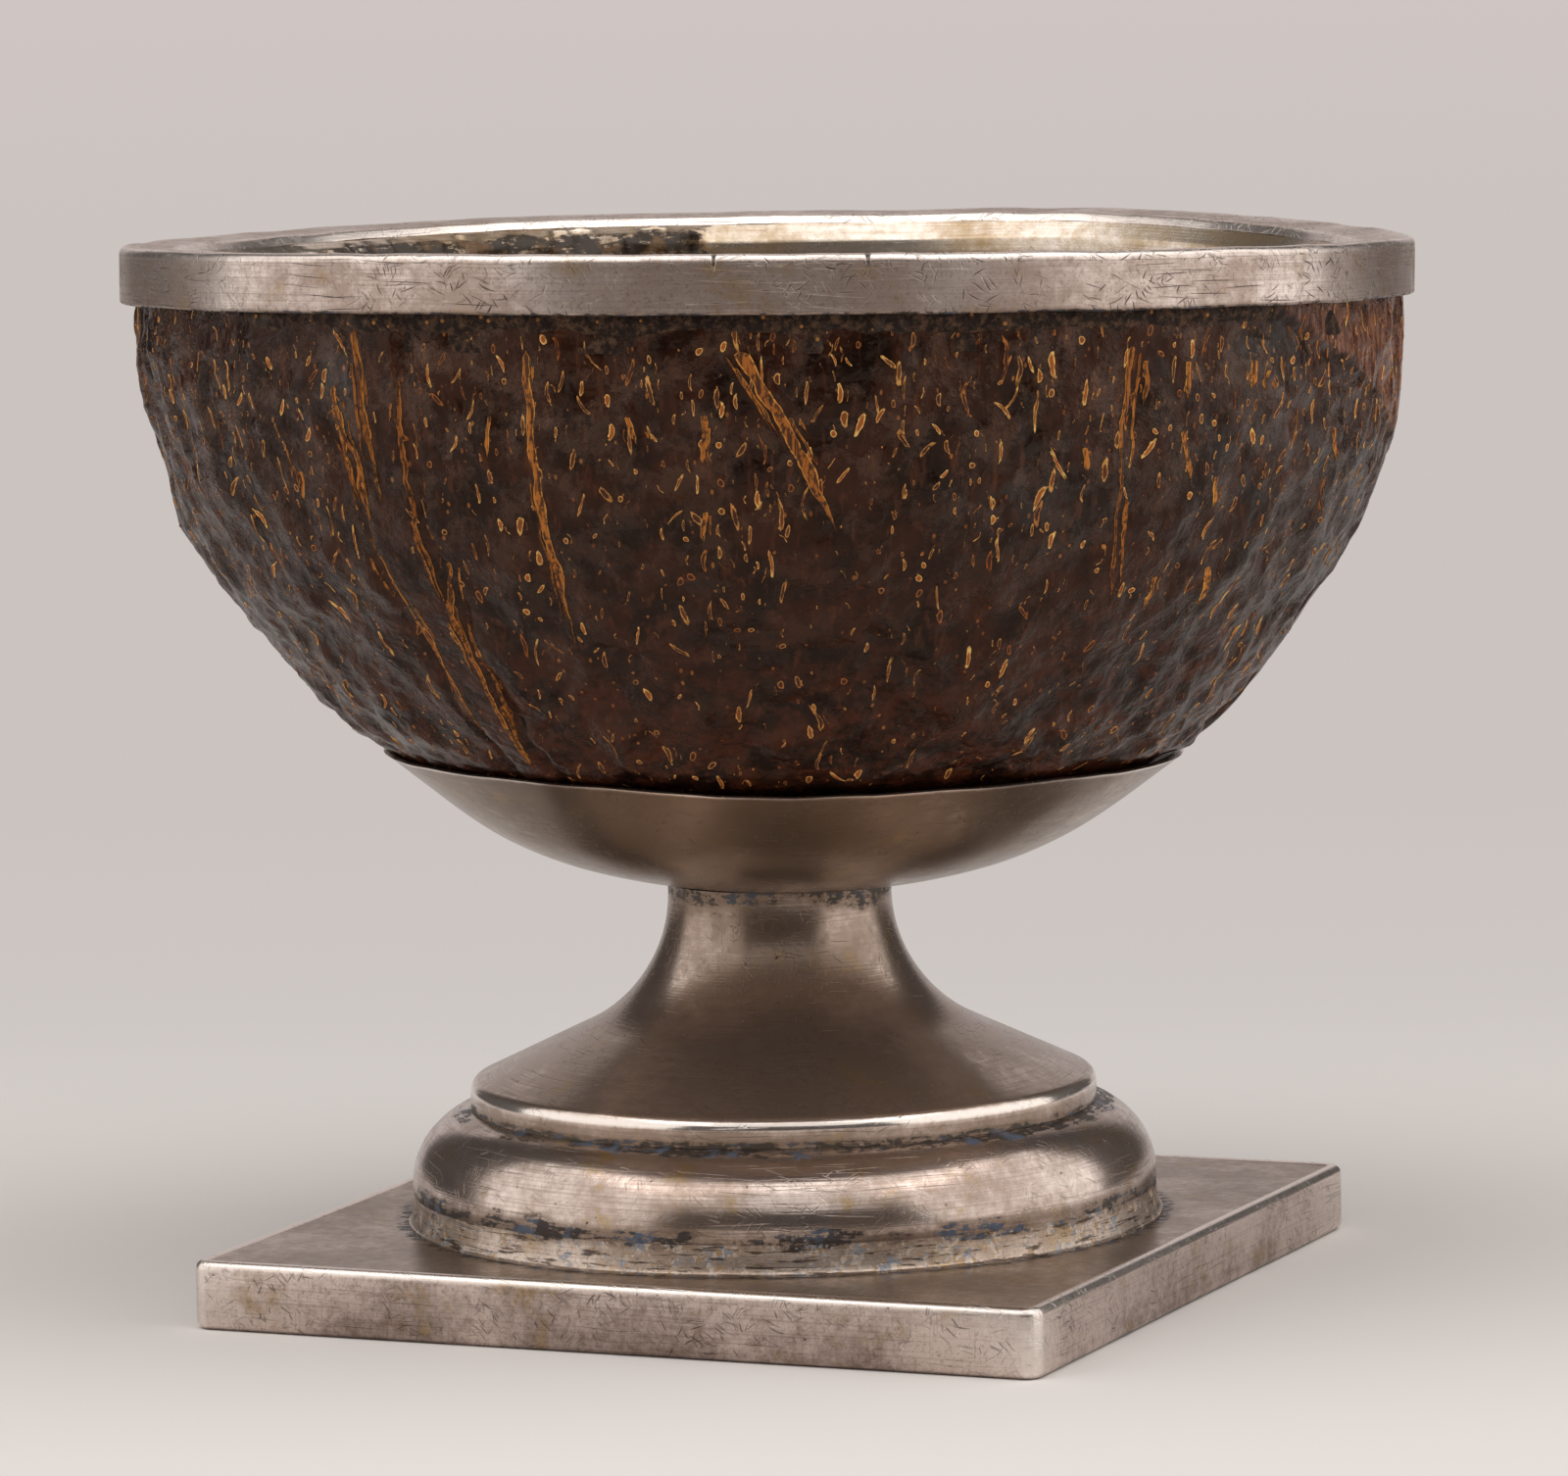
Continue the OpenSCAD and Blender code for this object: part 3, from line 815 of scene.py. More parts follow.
# Dull scraped patches, weighted towards the top: their paler tone is partly a painted sheen of the lamps
# above.
scraped_dull_and_sheen = shell_finish.cloud(spot, 3.4, 5.0, 0.7).ramp(0.46, 0.6)
scraped_dull_and_sheen = scraped_dull_and_sheen * (0.25 + 0.75 * height_z.ramp(58.0, 82.0))
mottle = shell_finish.cloud(spot, 5.0, 4.0, 0.65).ramp(0.35, 0.65)
tone = shell_finish.mixed(mottle, paint(22, 11, 8), paint(50, 26, 17))
tone = shell_finish.mixed(streaks.ramp(0.54, 0.72) * 0.4, tone, paint(96, 54, 34))
tone = shell_finish.mixed(scraped_dull_and_sheen * 0.25, tone, paint(104, 72, 52))
reddish = height_z.ramp(66.0, 47.0) * shell_finish.cloud(spot, 2.5, 4.0, 0.7).ramp(0.46, 0.6)
tone = shell_finish.mixed(reddish * 0.5, tone, paint(78, 38, 22))
specks, speck_pick, speck_tint = shell_finish.cells(shell_finish.stretched(spot, (1.0, 1.0, 1.8)), 1.0)
speck_tone = shell_finish.mixed(speck_tint, paint(112, 60, 28), paint(166, 104, 50))
tone = shell_finish.mixed(specks.ramp(0.17, 0.1) * speck_pick.ramp(0.36, 0.34) * 0.8, tone, speck_tone)
skin = shell_finish.value("skin")
skin_mottle = shell_finish.cloud(along, 0.5, 4.0, 0.7).ramp(0.4, 0.62)
skin_tone = shell_finish.mixed(skin_mottle, paint(62, 34, 27), paint(132, 88, 66))
tone = shell_finish.mixed(skin, tone, skin_tone)
creases = (shell_finish.cloud(shell_finish.swayed(spot, 2.0, 1.5), 1.5, 1.0) - 0.5).size()
pebbles = shell_finish.cloud(spot, 0.5, 2.0) * scraped_dull_and_sheen
glossy = shell_finish.value("facet") * shell_finish.cloud(spot, 2.2, 3.0, 0.6).ramp(0.38, 0.58)
shell_finish.feed(Base_Color=tone, Roughness=0.2 + 0.1 * grain,
                  Coat_Weight=scraped_dull_and_sheen * 0.22 + glossy * 0.5)
shell_finish.relief(grain * 0.3 - creases * 0.45 + streaks * 0.15 + pebbles * 0.8, 0.5)
show(shell, shell_finish.material, "coconut", "coconut_shell")

# %% [markdown]
# ## Fibre ends
# Thousands of tan spots cover the scraped shell: each is a fibre that the knife cut through, with
# a dark heart and a pale ring. Placing them by hand would be hopeless, so Geometry Nodes scatters
# one small cone over the shell, lays it along the height, stretches it at random and presses its
# points down onto the surface. The cone is closed and has few faces, because it is repeated often.
# First comes a second kind of sheet, which starts a Geometry Nodes tree with named inputs. The plinth
# uses it too.


# %% Geometry Nodes tools
class Growth(Sheet):
    """A Geometry Nodes tree with a geometry, named numbers and a material as its inputs."""

    def __init__(self, name, floats, ints=()):
        super().__init__(bpy.data.node_groups.new(name, "GeometryNodeTree"))
        kinds = {"Geometry": "Geometry", **dict.fromkeys(floats, "Float"), **dict.fromkeys(ints, "Int"),
                 "Material": "Material"}
        face = self.tree.interface
        face.new_socket("Geometry", in_out="OUTPUT", socket_type="NodeSocketGeometry")
        for key, kind in kinds.items():
            face.new_socket(key, in_out="INPUT", socket_type=f"NodeSocket{kind}")
        source = self.add("NodeGroupInput")
        self.given = {key: self.other(source, key) for key in kinds}

    def moved(self, geometry, **places):
        """Moves points by an Offset or to a Position."""
        return self.add("GeometryNodeSetPosition", None, {"Geometry": geometry, **places})

    def keep(self, geometry, name, wire, domain="POINT", kind="FLOAT"):
        """Stores a value on the points or on the instances."""
        return self.add("GeometryNodeStoreNamedAttribute", {"data_type": kind, "domain": domain},
                        {"Geometry": geometry, "Name": name, "Value": wire})

    def kept(self, name, kind="FLOAT"):
        """A value that was stored."""
        return self.add("GeometryNodeInputNamedAttribute", {"data_type": kind}, {"Name": name})

    def chance(self, low, high, salt):
        """A random number for each point, from the tree's own seed."""
        return self.add("FunctionNodeRandomValue", {"data_type": "FLOAT"},
                        {2: low, 3: high, "Seed": self.given["Seed"] + salt}, output=1)

    def end(self, geometry):
        """Gives the geometry its material, ends the tree and hands it over."""
        dressed = self.add("GeometryNodeSetMaterial", None,
                           {"Geometry": geometry, "Material": self.given["Material"]})
        self.add("NodeGroupOutput", None, {"Geometry": dressed})
        return self.tree


print("Geometry Nodes tools ready")

# %% [markdown]
# The tree scatters points and puts a cone on each, turned so that it lies along the height. It bends the
# cones a little, and at the end it moves every point of them to the nearest place on the shell, plus the
# height that the point had in its cone.

# %% Fibre ends
FIBRE_SIZES = ("Density", "Least gap", "Shortest", "Longest", "Thinnest", "Thickest", "Curl", "Lift",
               "Sunk", "Ragged")


def fibre_tree():
    """Geometry Nodes that scatter fibre ends over a shell, pressed onto its surface."""
    sheet = Growth("fibre_ends", FIBRE_SIZES, ("Sides", "Seed"))
    given, chance = sheet.given, sheet.chance
    points = sheet.add("GeometryNodeDistributePointsOnFaces", {"distribute_method": "POISSON"},
                       {"Mesh": given["Geometry"], "Distance Min": given["Least gap"],
                        "Density Max": given["Density"], "Density Factor": sheet.kept("fibre_density"),
                        "Seed": given["Seed"]})
    upright = sheet.add("FunctionNodeAlignRotationToVector", {"axis": "Z"},
                        {"Vector": sheet.other(points, "Normal")})
    downward = sheet.add("FunctionNodeAlignRotationToVector", {"axis": "Y", "pivot_axis": "Z"},
                         {"Rotation": upright, "Vector": (0.0, 0.0, -1.0)})
    spin = sheet.upward(chance(-1.0, 1.0, 1) ** 3 * 0.8)
    turn = sheet.add("FunctionNodeEulerToRotation", None, {0: spin})
    placed = sheet.add("FunctionNodeRotateRotation", {"rotation_space": "LOCAL"},
                       {"Rotation": downward, "Rotate By": turn})
    cone = sheet.add("GeometryNodeMeshCone", {"fill_type": "TRIANGLE_FAN"},
                     {"Vertices": given["Sides"], "Side Segments": 2, "Radius Top": 0.0,
                      "Radius Bottom": 1.0, "Depth": 1.0})
    side, along, rise = sheet.parts(sheet.add("GeometryNodeInputPosition"))
    across = (side * side + along * along) ** 0.5
    for name, wire in (("fibre_across", across), ("fibre_rise", rise), ("fibre_along", along)):
        cone = sheet.keep(cone, name, wire)
    length = given["Shortest"] + (given["Longest"] - given["Shortest"]) * chance(0.0, 1.0, 2) ** 2
    width = given["Thinnest"] + (given["Thickest"] - given["Thinnest"]) * chance(0.0, 1.0, 3) ** 2
    size = sheet.add("ShaderNodeCombineXYZ", None, {"X": width, "Y": length, "Z": given["Lift"]})
    fibres = sheet.add("GeometryNodeInstanceOnPoints", None,
                       {"Points": points, "Instance": cone, "Rotation": placed, "Scale": size})
    sideways = sheet.add("FunctionNodeRotateVector", None,
                         {"Vector": (1.0, 0.0, 0.0), "Rotation": placed})
    curl = sheet.scaled(sideways, chance(-1.0, 1.0, 5) * length * given["Curl"])
    fibres = sheet.keep(fibres, "fibre_tint", chance(0.0, 1.0, 4), "INSTANCE")
    fibres = sheet.keep(fibres, "fibre_curl", curl, "INSTANCE", "FLOAT_VECTOR")
    fibres = sheet.add("GeometryNodeRealizeInstances", None, {"Geometry": fibres})
    bow = sheet.kept("fibre_along") ** 2 - 0.3
    fibres = sheet.moved(fibres, Offset=sheet.scaled(sheet.kept("fibre_curl", "FLOAT_VECTOR"), bow))
    fibres = sheet.moved(fibres, Offset=sheet.scaled(sheet.jitter(900.0, 1.0), given["Ragged"]))
    nearest = sheet.add("GeometryNodeProximity", {"target_element": "FACES"}, {0: given["Geometry"]})
    outward = sheet.add("GeometryNodeSampleNearestSurface", {"data_type": "FLOAT_VECTOR"},
                        {"Mesh": given["Geometry"], "Value": sheet.add("GeometryNodeInputNormal")})
    raised = sheet.scaled(outward, sheet.kept("fibre_rise") * given["Lift"] - given["Sunk"])
    pressed = sheet.add("ShaderNodeVectorMath", {"operation": "ADD"}, {0: nearest, 1: raised})
    return sheet.end(sheet.moved(fibres, Position=pressed))


ends_tree = fibre_tree()
print(f"fibre tree with {len(ends_tree.nodes)} nodes")

# %% [markdown]
# A tree is set to work by a modifier. The result is then kept as a plain mesh and the modifier is
# taken away, so that the piece can be exported like any other.


# %% Scattered fibres
def grown(name, base, tree, **inputs):
    """A plain mesh object from a Geometry Nodes tree on a copy of a mesh."""
    item = bpy.data.objects.new(name, base.copy())
    bpy.context.scene.collection.objects.link(item)
    modifier = item.modifiers.new("grow", "NODES")
    modifier.node_group = tree
    sockets = {s.name: s.identifier for s in tree.interface.items_tree if s.in_out == "INPUT"}
    for key, value in inputs.items():
        modifier[sockets[key.replace("_", " ")]] = value
    graph = bpy.context.evaluated_depsgraph_get()
    mesh = bpy.data.meshes.new_from_object(item.evaluated_get(graph), preserve_all_data_layers=True,
                                           depsgraph=graph)
    item.modifiers.clear()
    item.data = mesh
    mesh.name = name
    mesh.shade_smooth()
    return item


# Most fibre ends in a square metre
FIBRE_DENSITY = 420000.0
fibre_finish = Finish("coconut_fibre", Specular_IOR_Level=0.2)
across = fibre_finish.value("fibre_across")
tint = fibre_finish.value("fibre_tint")
patchy = fibre_finish.cloud(fibre_finish.place, 0.5, 3.0, 0.6)
ring = fibre_finish.mixed(tint, paint(166, 92, 36), paint(246, 196, 112))
ring = fibre_finish.mixed(patchy.ramp(0.52, 0.68) * 0.7, ring, paint(116, 60, 25))
heart = fibre_finish.mixed(tint.ramp(0.3, 0.95), paint(66, 34, 18), paint(156, 82, 32))
tone = fibre_finish.mixed((across + patchy * 0.4 - 0.2).ramp(0.4, 0.62), heart, ring)
tone = fibre_finish.mixed((across + patchy * 0.4 - 0.2).ramp(0.9, 1.04), tone, paint(52, 29, 18))
fibre_finish.feed(Base_Color=tone, Roughness=0.45 + 0.25 * patchy)
fibre_finish.relief(patchy, 0.05)

ends = grown("fibre_ends", shell.data, ends_tree, Density=FIBRE_DENSITY, Least_gap=1.05 * MM,
             Shortest=0.36 * MM, Longest=1.9 * MM, Thinnest=0.13 * MM, Thickest=0.4 * MM, Curl=0.35,
             Lift=0.1 * MM, Sunk=0.03 * MM, Ragged=0.4 * MM, Sides=12, Seed=5,
             Material=fibre_finish.material)
show(ends, fibre_finish.material, "coconut")
specks = grown("fibre_specks", shell.data, ends_tree, Density=FIBRE_DENSITY, Least_gap=0.6 * MM,
               Shortest=0.14 * MM, Longest=0.9 * MM, Thinnest=0.05 * MM, Thickest=0.13 * MM, Curl=0.7,
               Lift=0.06 * MM, Sunk=0.02 * MM, Ragged=0.2 * MM, Sides=6, Seed=9,
               Material=fibre_finish.material)
show(specks, fibre_finish.material, "coconut")

# %% [markdown]
# ## Long fibres
# A few fibres run along the surface for a long way, and these are the marks by which this cup is
# known again. Each one is a flat tube that follows a short list of places, given as an angle round
# the cup and a height. Its width swells and shrinks a little, and it tapers to nothing at the ends.
# A thick fibre is a bundle, so some thin strands are drawn beside it, each over a part of its way.

# %% Long fibres
# Each fibre has its places, as degrees and heights in mm, half its width in mm and its tint, 0 to 1
LONG_FIBRES = (
    (((-20.8, 82.6), (-21.0, 73.9), (-20.4, 66.8), (-20.4, 58.6)), 0.36, 0.6),
    (((-2.6, 82.6), (1.1, 76.8), (6.0, 67.6)), 0.56, 0.4),
    (((32.4, 82.4), (31.8, 76.6), (31.8, 72.4)), 0.28, 0.4),
    (((31.8, 72.4), (33.0, 66.0), (34.5, 61.0)), 0.16, 0.1),
    (((-40.4, 79.5), (-39.8, 73.0), (-39.2, 66.0)), 0.24, 0.5),
    (((-39.6, 67.0), (-37.6, 58.0), (-38.6, 50.0)), 0.22, 0.4),
    (((-33.2, 80.0), (-33.8, 72.0), (-33.2, 62.0)), 0.18, 0.25),
    (((-33.0, 62.0), (-33.6, 54.0), (-35.0, 47.5)), 0.22, 0.4),
    (((-37.4, 84.0), (-37.0, 78.0), (-37.0, 70.0)), 0.14, 0.2),
    (((-24.8, 77.3), (-24.9, 74.1)), 0.18, 0.7),
    (((-40.0, 77.4), (-40.5, 73.1)), 0.2, 0.8),
    (((-47.1, 72.1), (-47.6, 69.6)), 0.2, 0.7),
    (((-31.5, 65.3), (-33.8, 59.4)), 0.2, 0.5),
    (((-5.6, 77.6), (-5.9, 73.3)), 0.26, 0.55),
    (((-5.8, 69.8), (-6.0, 67.0)), 0.2, 0.7),
    (((-12.0, 77.4), (-11.5, 75.3)), 0.22, 0.6),
    (((28.2, 74.3), (28.9, 72.3)), 0.2, 0.8),
    (((38.4, 81.0), (38.5, 78.0)), 0.26, 0.7),
    (((38.5, 75.3), (39.2, 73.2), (39.9, 71.2)), 0.26, 0.7),
    (((43.2, 71.5), (43.5, 69.0)), 0.34, 0.9),
    (((46.4, 80.8), (46.5, 78.5)), 0.42, 0.9),
    (((48.9, 79.9), (48.3, 79.0), (48.5, 78.2)), 0.24, 0.9),
    (((46.1, 63.7), (47.1, 60.3)), 0.34, 0.9),
    (((39.3, 63.2), (39.2, 60.7)), 0.3, 0.8),
    (((61.2, 74.6), (62.8, 71.8)), 0.3, 0.8),
    (((33.8, 81.2), (33.7, 77.6)), 0.22, 0.3),
)
FIBRE_SECTION = 10
FIBRE_STEPS = 90
LEAST_HALF_W = 0.004
FIBRE_RISE = 0.09
FIBRE_ROOT = 0.1
FIBRE_SUNK = 0.01
BUNDLE_STRANDS = 5
BUNDLE_REACH = 0.9
BUNDLE_SEED = 19
LONG_DROP = 7


def long_fibre(places, half_width, tint, seed):
    """Points, faces and values of one flat tube that follows places on the shell."""
    knots = np.array(places, float)
    share = np.linspace(0, len(knots) - 1, FIBRE_STEPS)
    phi = np.radians(np.interp(share, range(len(knots)), knots[:, 0]))
    z = np.interp(share, range(len(knots)), knots[:, 1])
    phi = phi + noise_field(z, 0 * z, 0 * z, 3.0, 3, seed) * 0.006
    end = np.linspace(0, 1, len(z))
    swell = 0.95 + 0.35 * noise_field(z, 0 * z, 0 * z, 1.6, 3, seed + 3.0)
    half = half_width * np.clip(swell, 0.55, 2) * smooth_step(0, 0.02, end) * smooth_step(1, 0.7, end)
    half = np.maximum(half, LEAST_HALF_W)
    turn = np.linspace(0, 2 * np.pi, FIBRE_SECTION, endpoint=False)
    side, rise = np.cos(turn), np.sin(turn)
    phis = phi[:, None] + side * (half / shell_place(z)[0])[:, None]
    zs = np.broadcast_to(z[:, None], phis.shape)
    plain_r, out_r, out_z = shell_place(zs)
    lift = shell_relief(phis, plain_r, zs) - FIBRE_SUNK
    lift = lift + np.where(rise > 0, FIBRE_RISE, FIBRE_ROOT) * rise
    r = plain_r + lift * out_r
    z = zs + lift * out_z
    points = leaned(np.stack((r * np.cos(FACING + phis), r * np.sin(FACING + phis), z), axis=-1))
    faces = ring_faces(len(points), FIBRE_SECTION)[:-1].reshape(-1, 4)
    across = np.broadcast_to(np.abs(side), phis.shape)
    return points.reshape(-1, 3), faces, across.ravel(), np.full(across.size, tint)


def joined(name, parts):
    """One object from several (points, faces, across, tint) parts."""
    starts = np.cumsum([0] + [len(p[0]) for p in parts[:-1]])
    faces = np.concatenate([p[1] + start for p, start in zip(parts, starts)])
    return make_object(name, np.concatenate([p[0] for p in parts]), faces, None,
                       {"fibre_across": np.concatenate([p[2] for p in parts]),
                        "fibre_tint": np.concatenate([p[3] for p in parts])})


def bundle_strands():
    """Thin strands beside every long fibre: places, half width and tint, like the list above."""
    luck = np.random.default_rng(BUNDLE_SEED)
    strands = []
    for places, half, tint in LONG_FIBRES:
        drop = places[0][1] - places[-1][1]
        for _ in range(BUNDLE_STRANDS if drop > LONG_DROP else 1):
            share = np.sort(luck.uniform(0, 1, 2)) * (len(places) - 1)
            share = np.linspace(share[0], share[1], 4)
            aside = luck.uniform(-1, 1) * (half + BUNDLE_REACH) / SHELL_R
            phi = np.interp(share, range(len(places)), [p[0] for p in places]) + math.degrees(aside)
            z = np.interp(share, range(len(places)), [p[1] for p in places])
            strands.append((tuple(zip(phi, z)), luck.uniform(0.07, 0.14), luck.uniform(0.1, 0.9)))
    return strands


every_fibre = (*LONG_FIBRES, *bundle_strands())
streaks = joined("long_fibres", [long_fibre(*fibre, 31.0 + 5 * i)
                                 for i, fibre in enumerate(every_fibre)])
print(f"{len(every_fibre)} long fibres and strands laid")

# %% [markdown]
# A long fibre is split along its length, so its finish is lined with dark cracks. Its edges are paler
# than its core, and patches of the shell's brown still cover it.

# %% Long fibre finish
streak_finish = Finish("long_fibre", Specular_IOR_Level=0.2)
across = streak_finish.value("fibre_across")
tint = streak_finish.value("fibre_tint")
patchy = streak_finish.cloud(streak_finish.place, 0.6, 3.0, 0.6)
lengthwise = streak_finish.stretched(streak_finish.place, (0.28, 0.28, 6.0))
lines = streak_finish.cloud(lengthwise, 1.0, 3.0, 0.6)
core = streak_finish.mixed(tint, paint(128, 70, 26), paint(196, 118, 44))
core = streak_finish.mixed(lines.ramp(0.46, 0.56) * 0.9, core, paint(58, 34, 20))
rind = streak_finish.mixed(tint, paint(196, 120, 44), paint(242, 180, 86))
tone = streak_finish.mixed((across + patchy * 0.4 - 0.2).ramp(0.7, 0.9), core, rind)
tone = streak_finish.mixed(patchy.ramp(0.54, 0.64) * 0.8, tone, paint(50, 31, 21))
streak_finish.feed(Base_Color=tone, Roughness=0.5 + 0.2 * patchy)
streak_finish.relief(lines, 0.08)
show(streaks, streak_finish.material, "coconut")

# %% [markdown]
# ## Putty
# The rim was bedded in putty, and a gritty smear of it was left under the band. The smear is a thin
# ring whose thickness is noise minus a level that rises downwards: where the difference is negative
# the ring dips under the shell, so its lower edge breaks up by itself. The left side was wiped clean.


# %% Putty
def smeared(phi, r, z):
    """Lays the putty on the shell, thick at the band and broken up lower down."""
    plain_r, out_r, out_z = shell_place(z)
    lift = shell_relief(phi, plain_r, z)
    grit = 0.5 * round_noise(phi, r, z, 3.0, 2, 41.0) + 0.4 * round_noise(phi, r, z, 7.0, 2, 43.0)
    thick = 0.5 * grit + 0.26 * smooth_step(SMEAR_Z - 0.6, BAND_Z + 0.2, z) + 0.06
    thick = thick - 0.6 * smooth_step(SMEAR_Z + 1.6, SMEAR_Z - 0.4, z)
    thick = thick - 0.8 * np.maximum(skin_patch(phi, plain_r, z), clean_side(phi))
    outer = r > plain_r - 0.2
    lift = np.where(outer, lift + np.clip(thick, -0.6, 0.45), -0.6)
    return plain_r + lift * out_r, z + lift * out_z


putty_rows = np.arange(SMEAR_Z - 0.8, BAND_Z + 0.9, 0.3)
putty_line = np.concatenate((np.column_stack((shell_place(putty_rows)[0], putty_rows)),
                             [(SHELL_R - 0.6, putty_rows[-1]), (SHELL_R - 0.6, putty_rows[0])]))
putty = turned("putty", putty_line, smeared, turns=SHELL_TURNS, lean=True)
putty_finish = Finish("putty", Specular_IOR_Level=0.15)
grit = putty_finish.cloud(putty_finish.place, 0.7, 4.0, 0.7)
crumbs, crumb_pick, _ = putty_finish.cells(putty_finish.place, 0.7)
tone = putty_finish.mixed(grit.ramp(0.42, 0.7), paint(32, 21, 16), paint(94, 70, 53))
chalky = putty_finish.cloud(putty_finish.place, 4.0, 3.0).ramp(0.56, 0.7)
tone = putty_finish.mixed(chalky * 0.3, tone, paint(108, 96, 86))
tone = putty_finish.mixed(crumbs.ramp(0.3, 0.16) * crumb_pick.ramp(0.2, 0.18), tone, paint(168, 112, 54))
putty_finish.feed(Base_Color=tone, Roughness=0.5 + 0.3 * grit)
putty_finish.relief(grit, 0.3)
show(putty, putty_finish.material, "putty", "rim_putty")

# %% [markdown]
# ## Rim
# The rim is a strip bent round the mouth with a flat ring soldered on top. It was made by eye:
# it dips to the right, it is wavy, and two nicks were cut into its front edge. The turned mesh gets
# extra steps at the nicks, so that they can be cut as real notches.

# %% Rim
# Each nick has its angle, and half its width in mm
NICKS = ((math.radians(-4.4), 0.11), (math.radians(8.2), 0.13))
LIP_FALL = 0.3
WAVE_R = 60
nick_turns = [phi + np.linspace(-1, 1, 13) * math.radians(0.3) for phi, _ in NICKS]
RIM_TURNS = np.unique(np.concatenate([full_turn(420), *nick_turns]))


def rim_dip(phi):
    """How far the rim stands over its level at an angle round the cup, in mm."""
    far_right = 0.6 * bump_at(phi, 2.5, 0.42)
    far_left = 0.35 * bump_at(phi, -2.0, 0.6)
    return -0.1 + 0.3 * np.cos(2 * phi) - 0.1 * np.cos(phi) - 0.65 * np.sin(phi) + far_right - far_left


def rim_shape(phi, r, z):
    """Bends a rim piece: dips, small waves, the nicks and a lip that falls inwards."""
    wave = 0.12 * round_noise(phi, WAVE_R, 0 * z, 9.0, 2, 51.0)
    bulge = 0.14 * round_noise(phi, WAVE_R, z, 13.0, 2, 53.0)
    notch = sum(bump_at(phi * RIM_R, at * RIM_R, half) for at, half in NICKS)
    notch = notch * smooth_step(RIM_Z - 1.6, RIM_Z, z)
    fall = LIP_FALL * np.clip((RIM_R - r) / (RIM_R - LINER_R), 0, 1) * smooth_step(LIP_Z - 1.5, LIP_Z, z)
    edge = smooth_step(RIM_R - 1.6, RIM_R - 0.5, r)
    return r + bulge - 0.3 * notch * edge, z + rim_dip(phi) + wave - fall - 0.3 * notch * edge


def rim_grime(phi, r, z):
    """Dirt along the lower edge of the band and in the nicks."""
    nick = sum(bump_at(phi * RIM_R, at * RIM_R, 1.3 * half) for at, half in NICKS)
    nick = nick * smooth_step(RIM_Z - 1.6, RIM_Z - 0.6, z) * smooth_step(RIM_R - 1.6, RIM_R - 0.5, r)
    on_top = smooth_step(RIM_Z - 0.2, RIM_Z, z) * smooth_step(RIM_R - 1.0, RIM_R - 2.0, r)
    return 0.7 * smooth_step(BAND_Z + 0.5, BAND_Z, z) + nick + 0.3 * on_top


lip_line = filled_in(rounded([(RIM_R, LIP_Z, 0.03), (RIM_R, RIM_Z, 0.7), (LINER_R + 0.1, RIM_Z, 0.5),
                              (LINER_R - LINER_T, LIP_Z, 0.03)]), 0.3)
band_line = filled_in(rounded([(RIM_R - BAND_T, BAND_Z, 0.1), (RIM_R, BAND_Z, 0.22),
                               (RIM_R, LIP_Z, 0.0), (RIM_R - BAND_T, LIP_Z, 0.0)]), 0.3)
rim_silver = silver("silver_rim", paint(236, 221, 212), paint(164, 144, 133), 0.4, rub_and_highlight=0.65, rough=0.29)
# The rim's outer top edge and the lip's inner edge are made bright: polish, and partly a painted
# highlight.
rim_edges = ((RIM_R, RIM_Z, 0.55),)
inner_edge = (LINER_R - 0.2, (LIP_Z + RIM_Z) / 2, 0.6)
lip = turned("lip", lip_line, rim_shape, rim_grime, (*rim_edges, inner_edge), RIM_TURNS)
show(lip, rim_silver, "silver", "rim_lip")
band = turned("band", band_line, rim_shape, rim_grime, rim_edges, RIM_TURNS)
show(band, rim_silver, "silver", "rim_band")

# %% [markdown]
# ## Lining
# The lining is a thin bowl whose top rolls out to meet the rim. At the rear left it came loose long
# ago and crumpled, so upright folds of noise push it in and out there. Burnt dirt covers the folds
# up to a ragged line, and above that line the silver is bare.

# %% Lining
CRUMPLE_FROM = math.radians(-174)
CRUMPLE_TO = math.radians(-118)
CRUMPLE_RISE = (72, 81)
# The bottom is flat, this far over the end of the bowl's curve
LINER_FLAT_H = 0.9


def crumple(phi, z):
    """How crumpled the lining is, from 0 to 1."""
    start = smooth_step(CRUMPLE_FROM, CRUMPLE_FROM + 0.04, phi)
    end = smooth_step(CRUMPLE_TO, CRUMPLE_TO - 0.2, phi)
    return start * end * smooth_step(*CRUMPLE_RISE, z) * smooth_step(LIP_Z, LIP_Z - 0.7, z)


def lining_folds(phi, r, z):
    """Upright folds: 0 on the ridge of a fold and up to about 1 away from it."""
    return np.abs(round_noise(phi, r, z * 0.5, 3.2, 3, 61.0))


def lining_shape(phi, r, z):
    """Crumples and dents the lining, and rolls its top out to the rim."""
    folds = 1 - 2.2 * lining_folds(phi, r, z)
    dents = 0.3 * round_noise(phi, r, z, 16.0, 2, 63.0) * smooth_step(0, 0.2 * LINER_R, r)
    top = smooth_step(LIP_Z - 9, LIP_Z, z)
    fall = LIP_FALL * smooth_step(LIP_Z - 9, LIP_Z - 2, z)
    roll = 0.75 * np.clip(LIP_Z - z, 0, 1.5) + 0.08 * np.clip(LIP_Z - 1.5 - z, 0, 6)
    roll = roll * smooth_step(0, 0.8 * LINER_R, r)
    return (r - (0.9 * folds + 0.3) * crumple(phi, z) - roll + dents * (1 - top),
            z + rim_dip(phi) * top - fall)


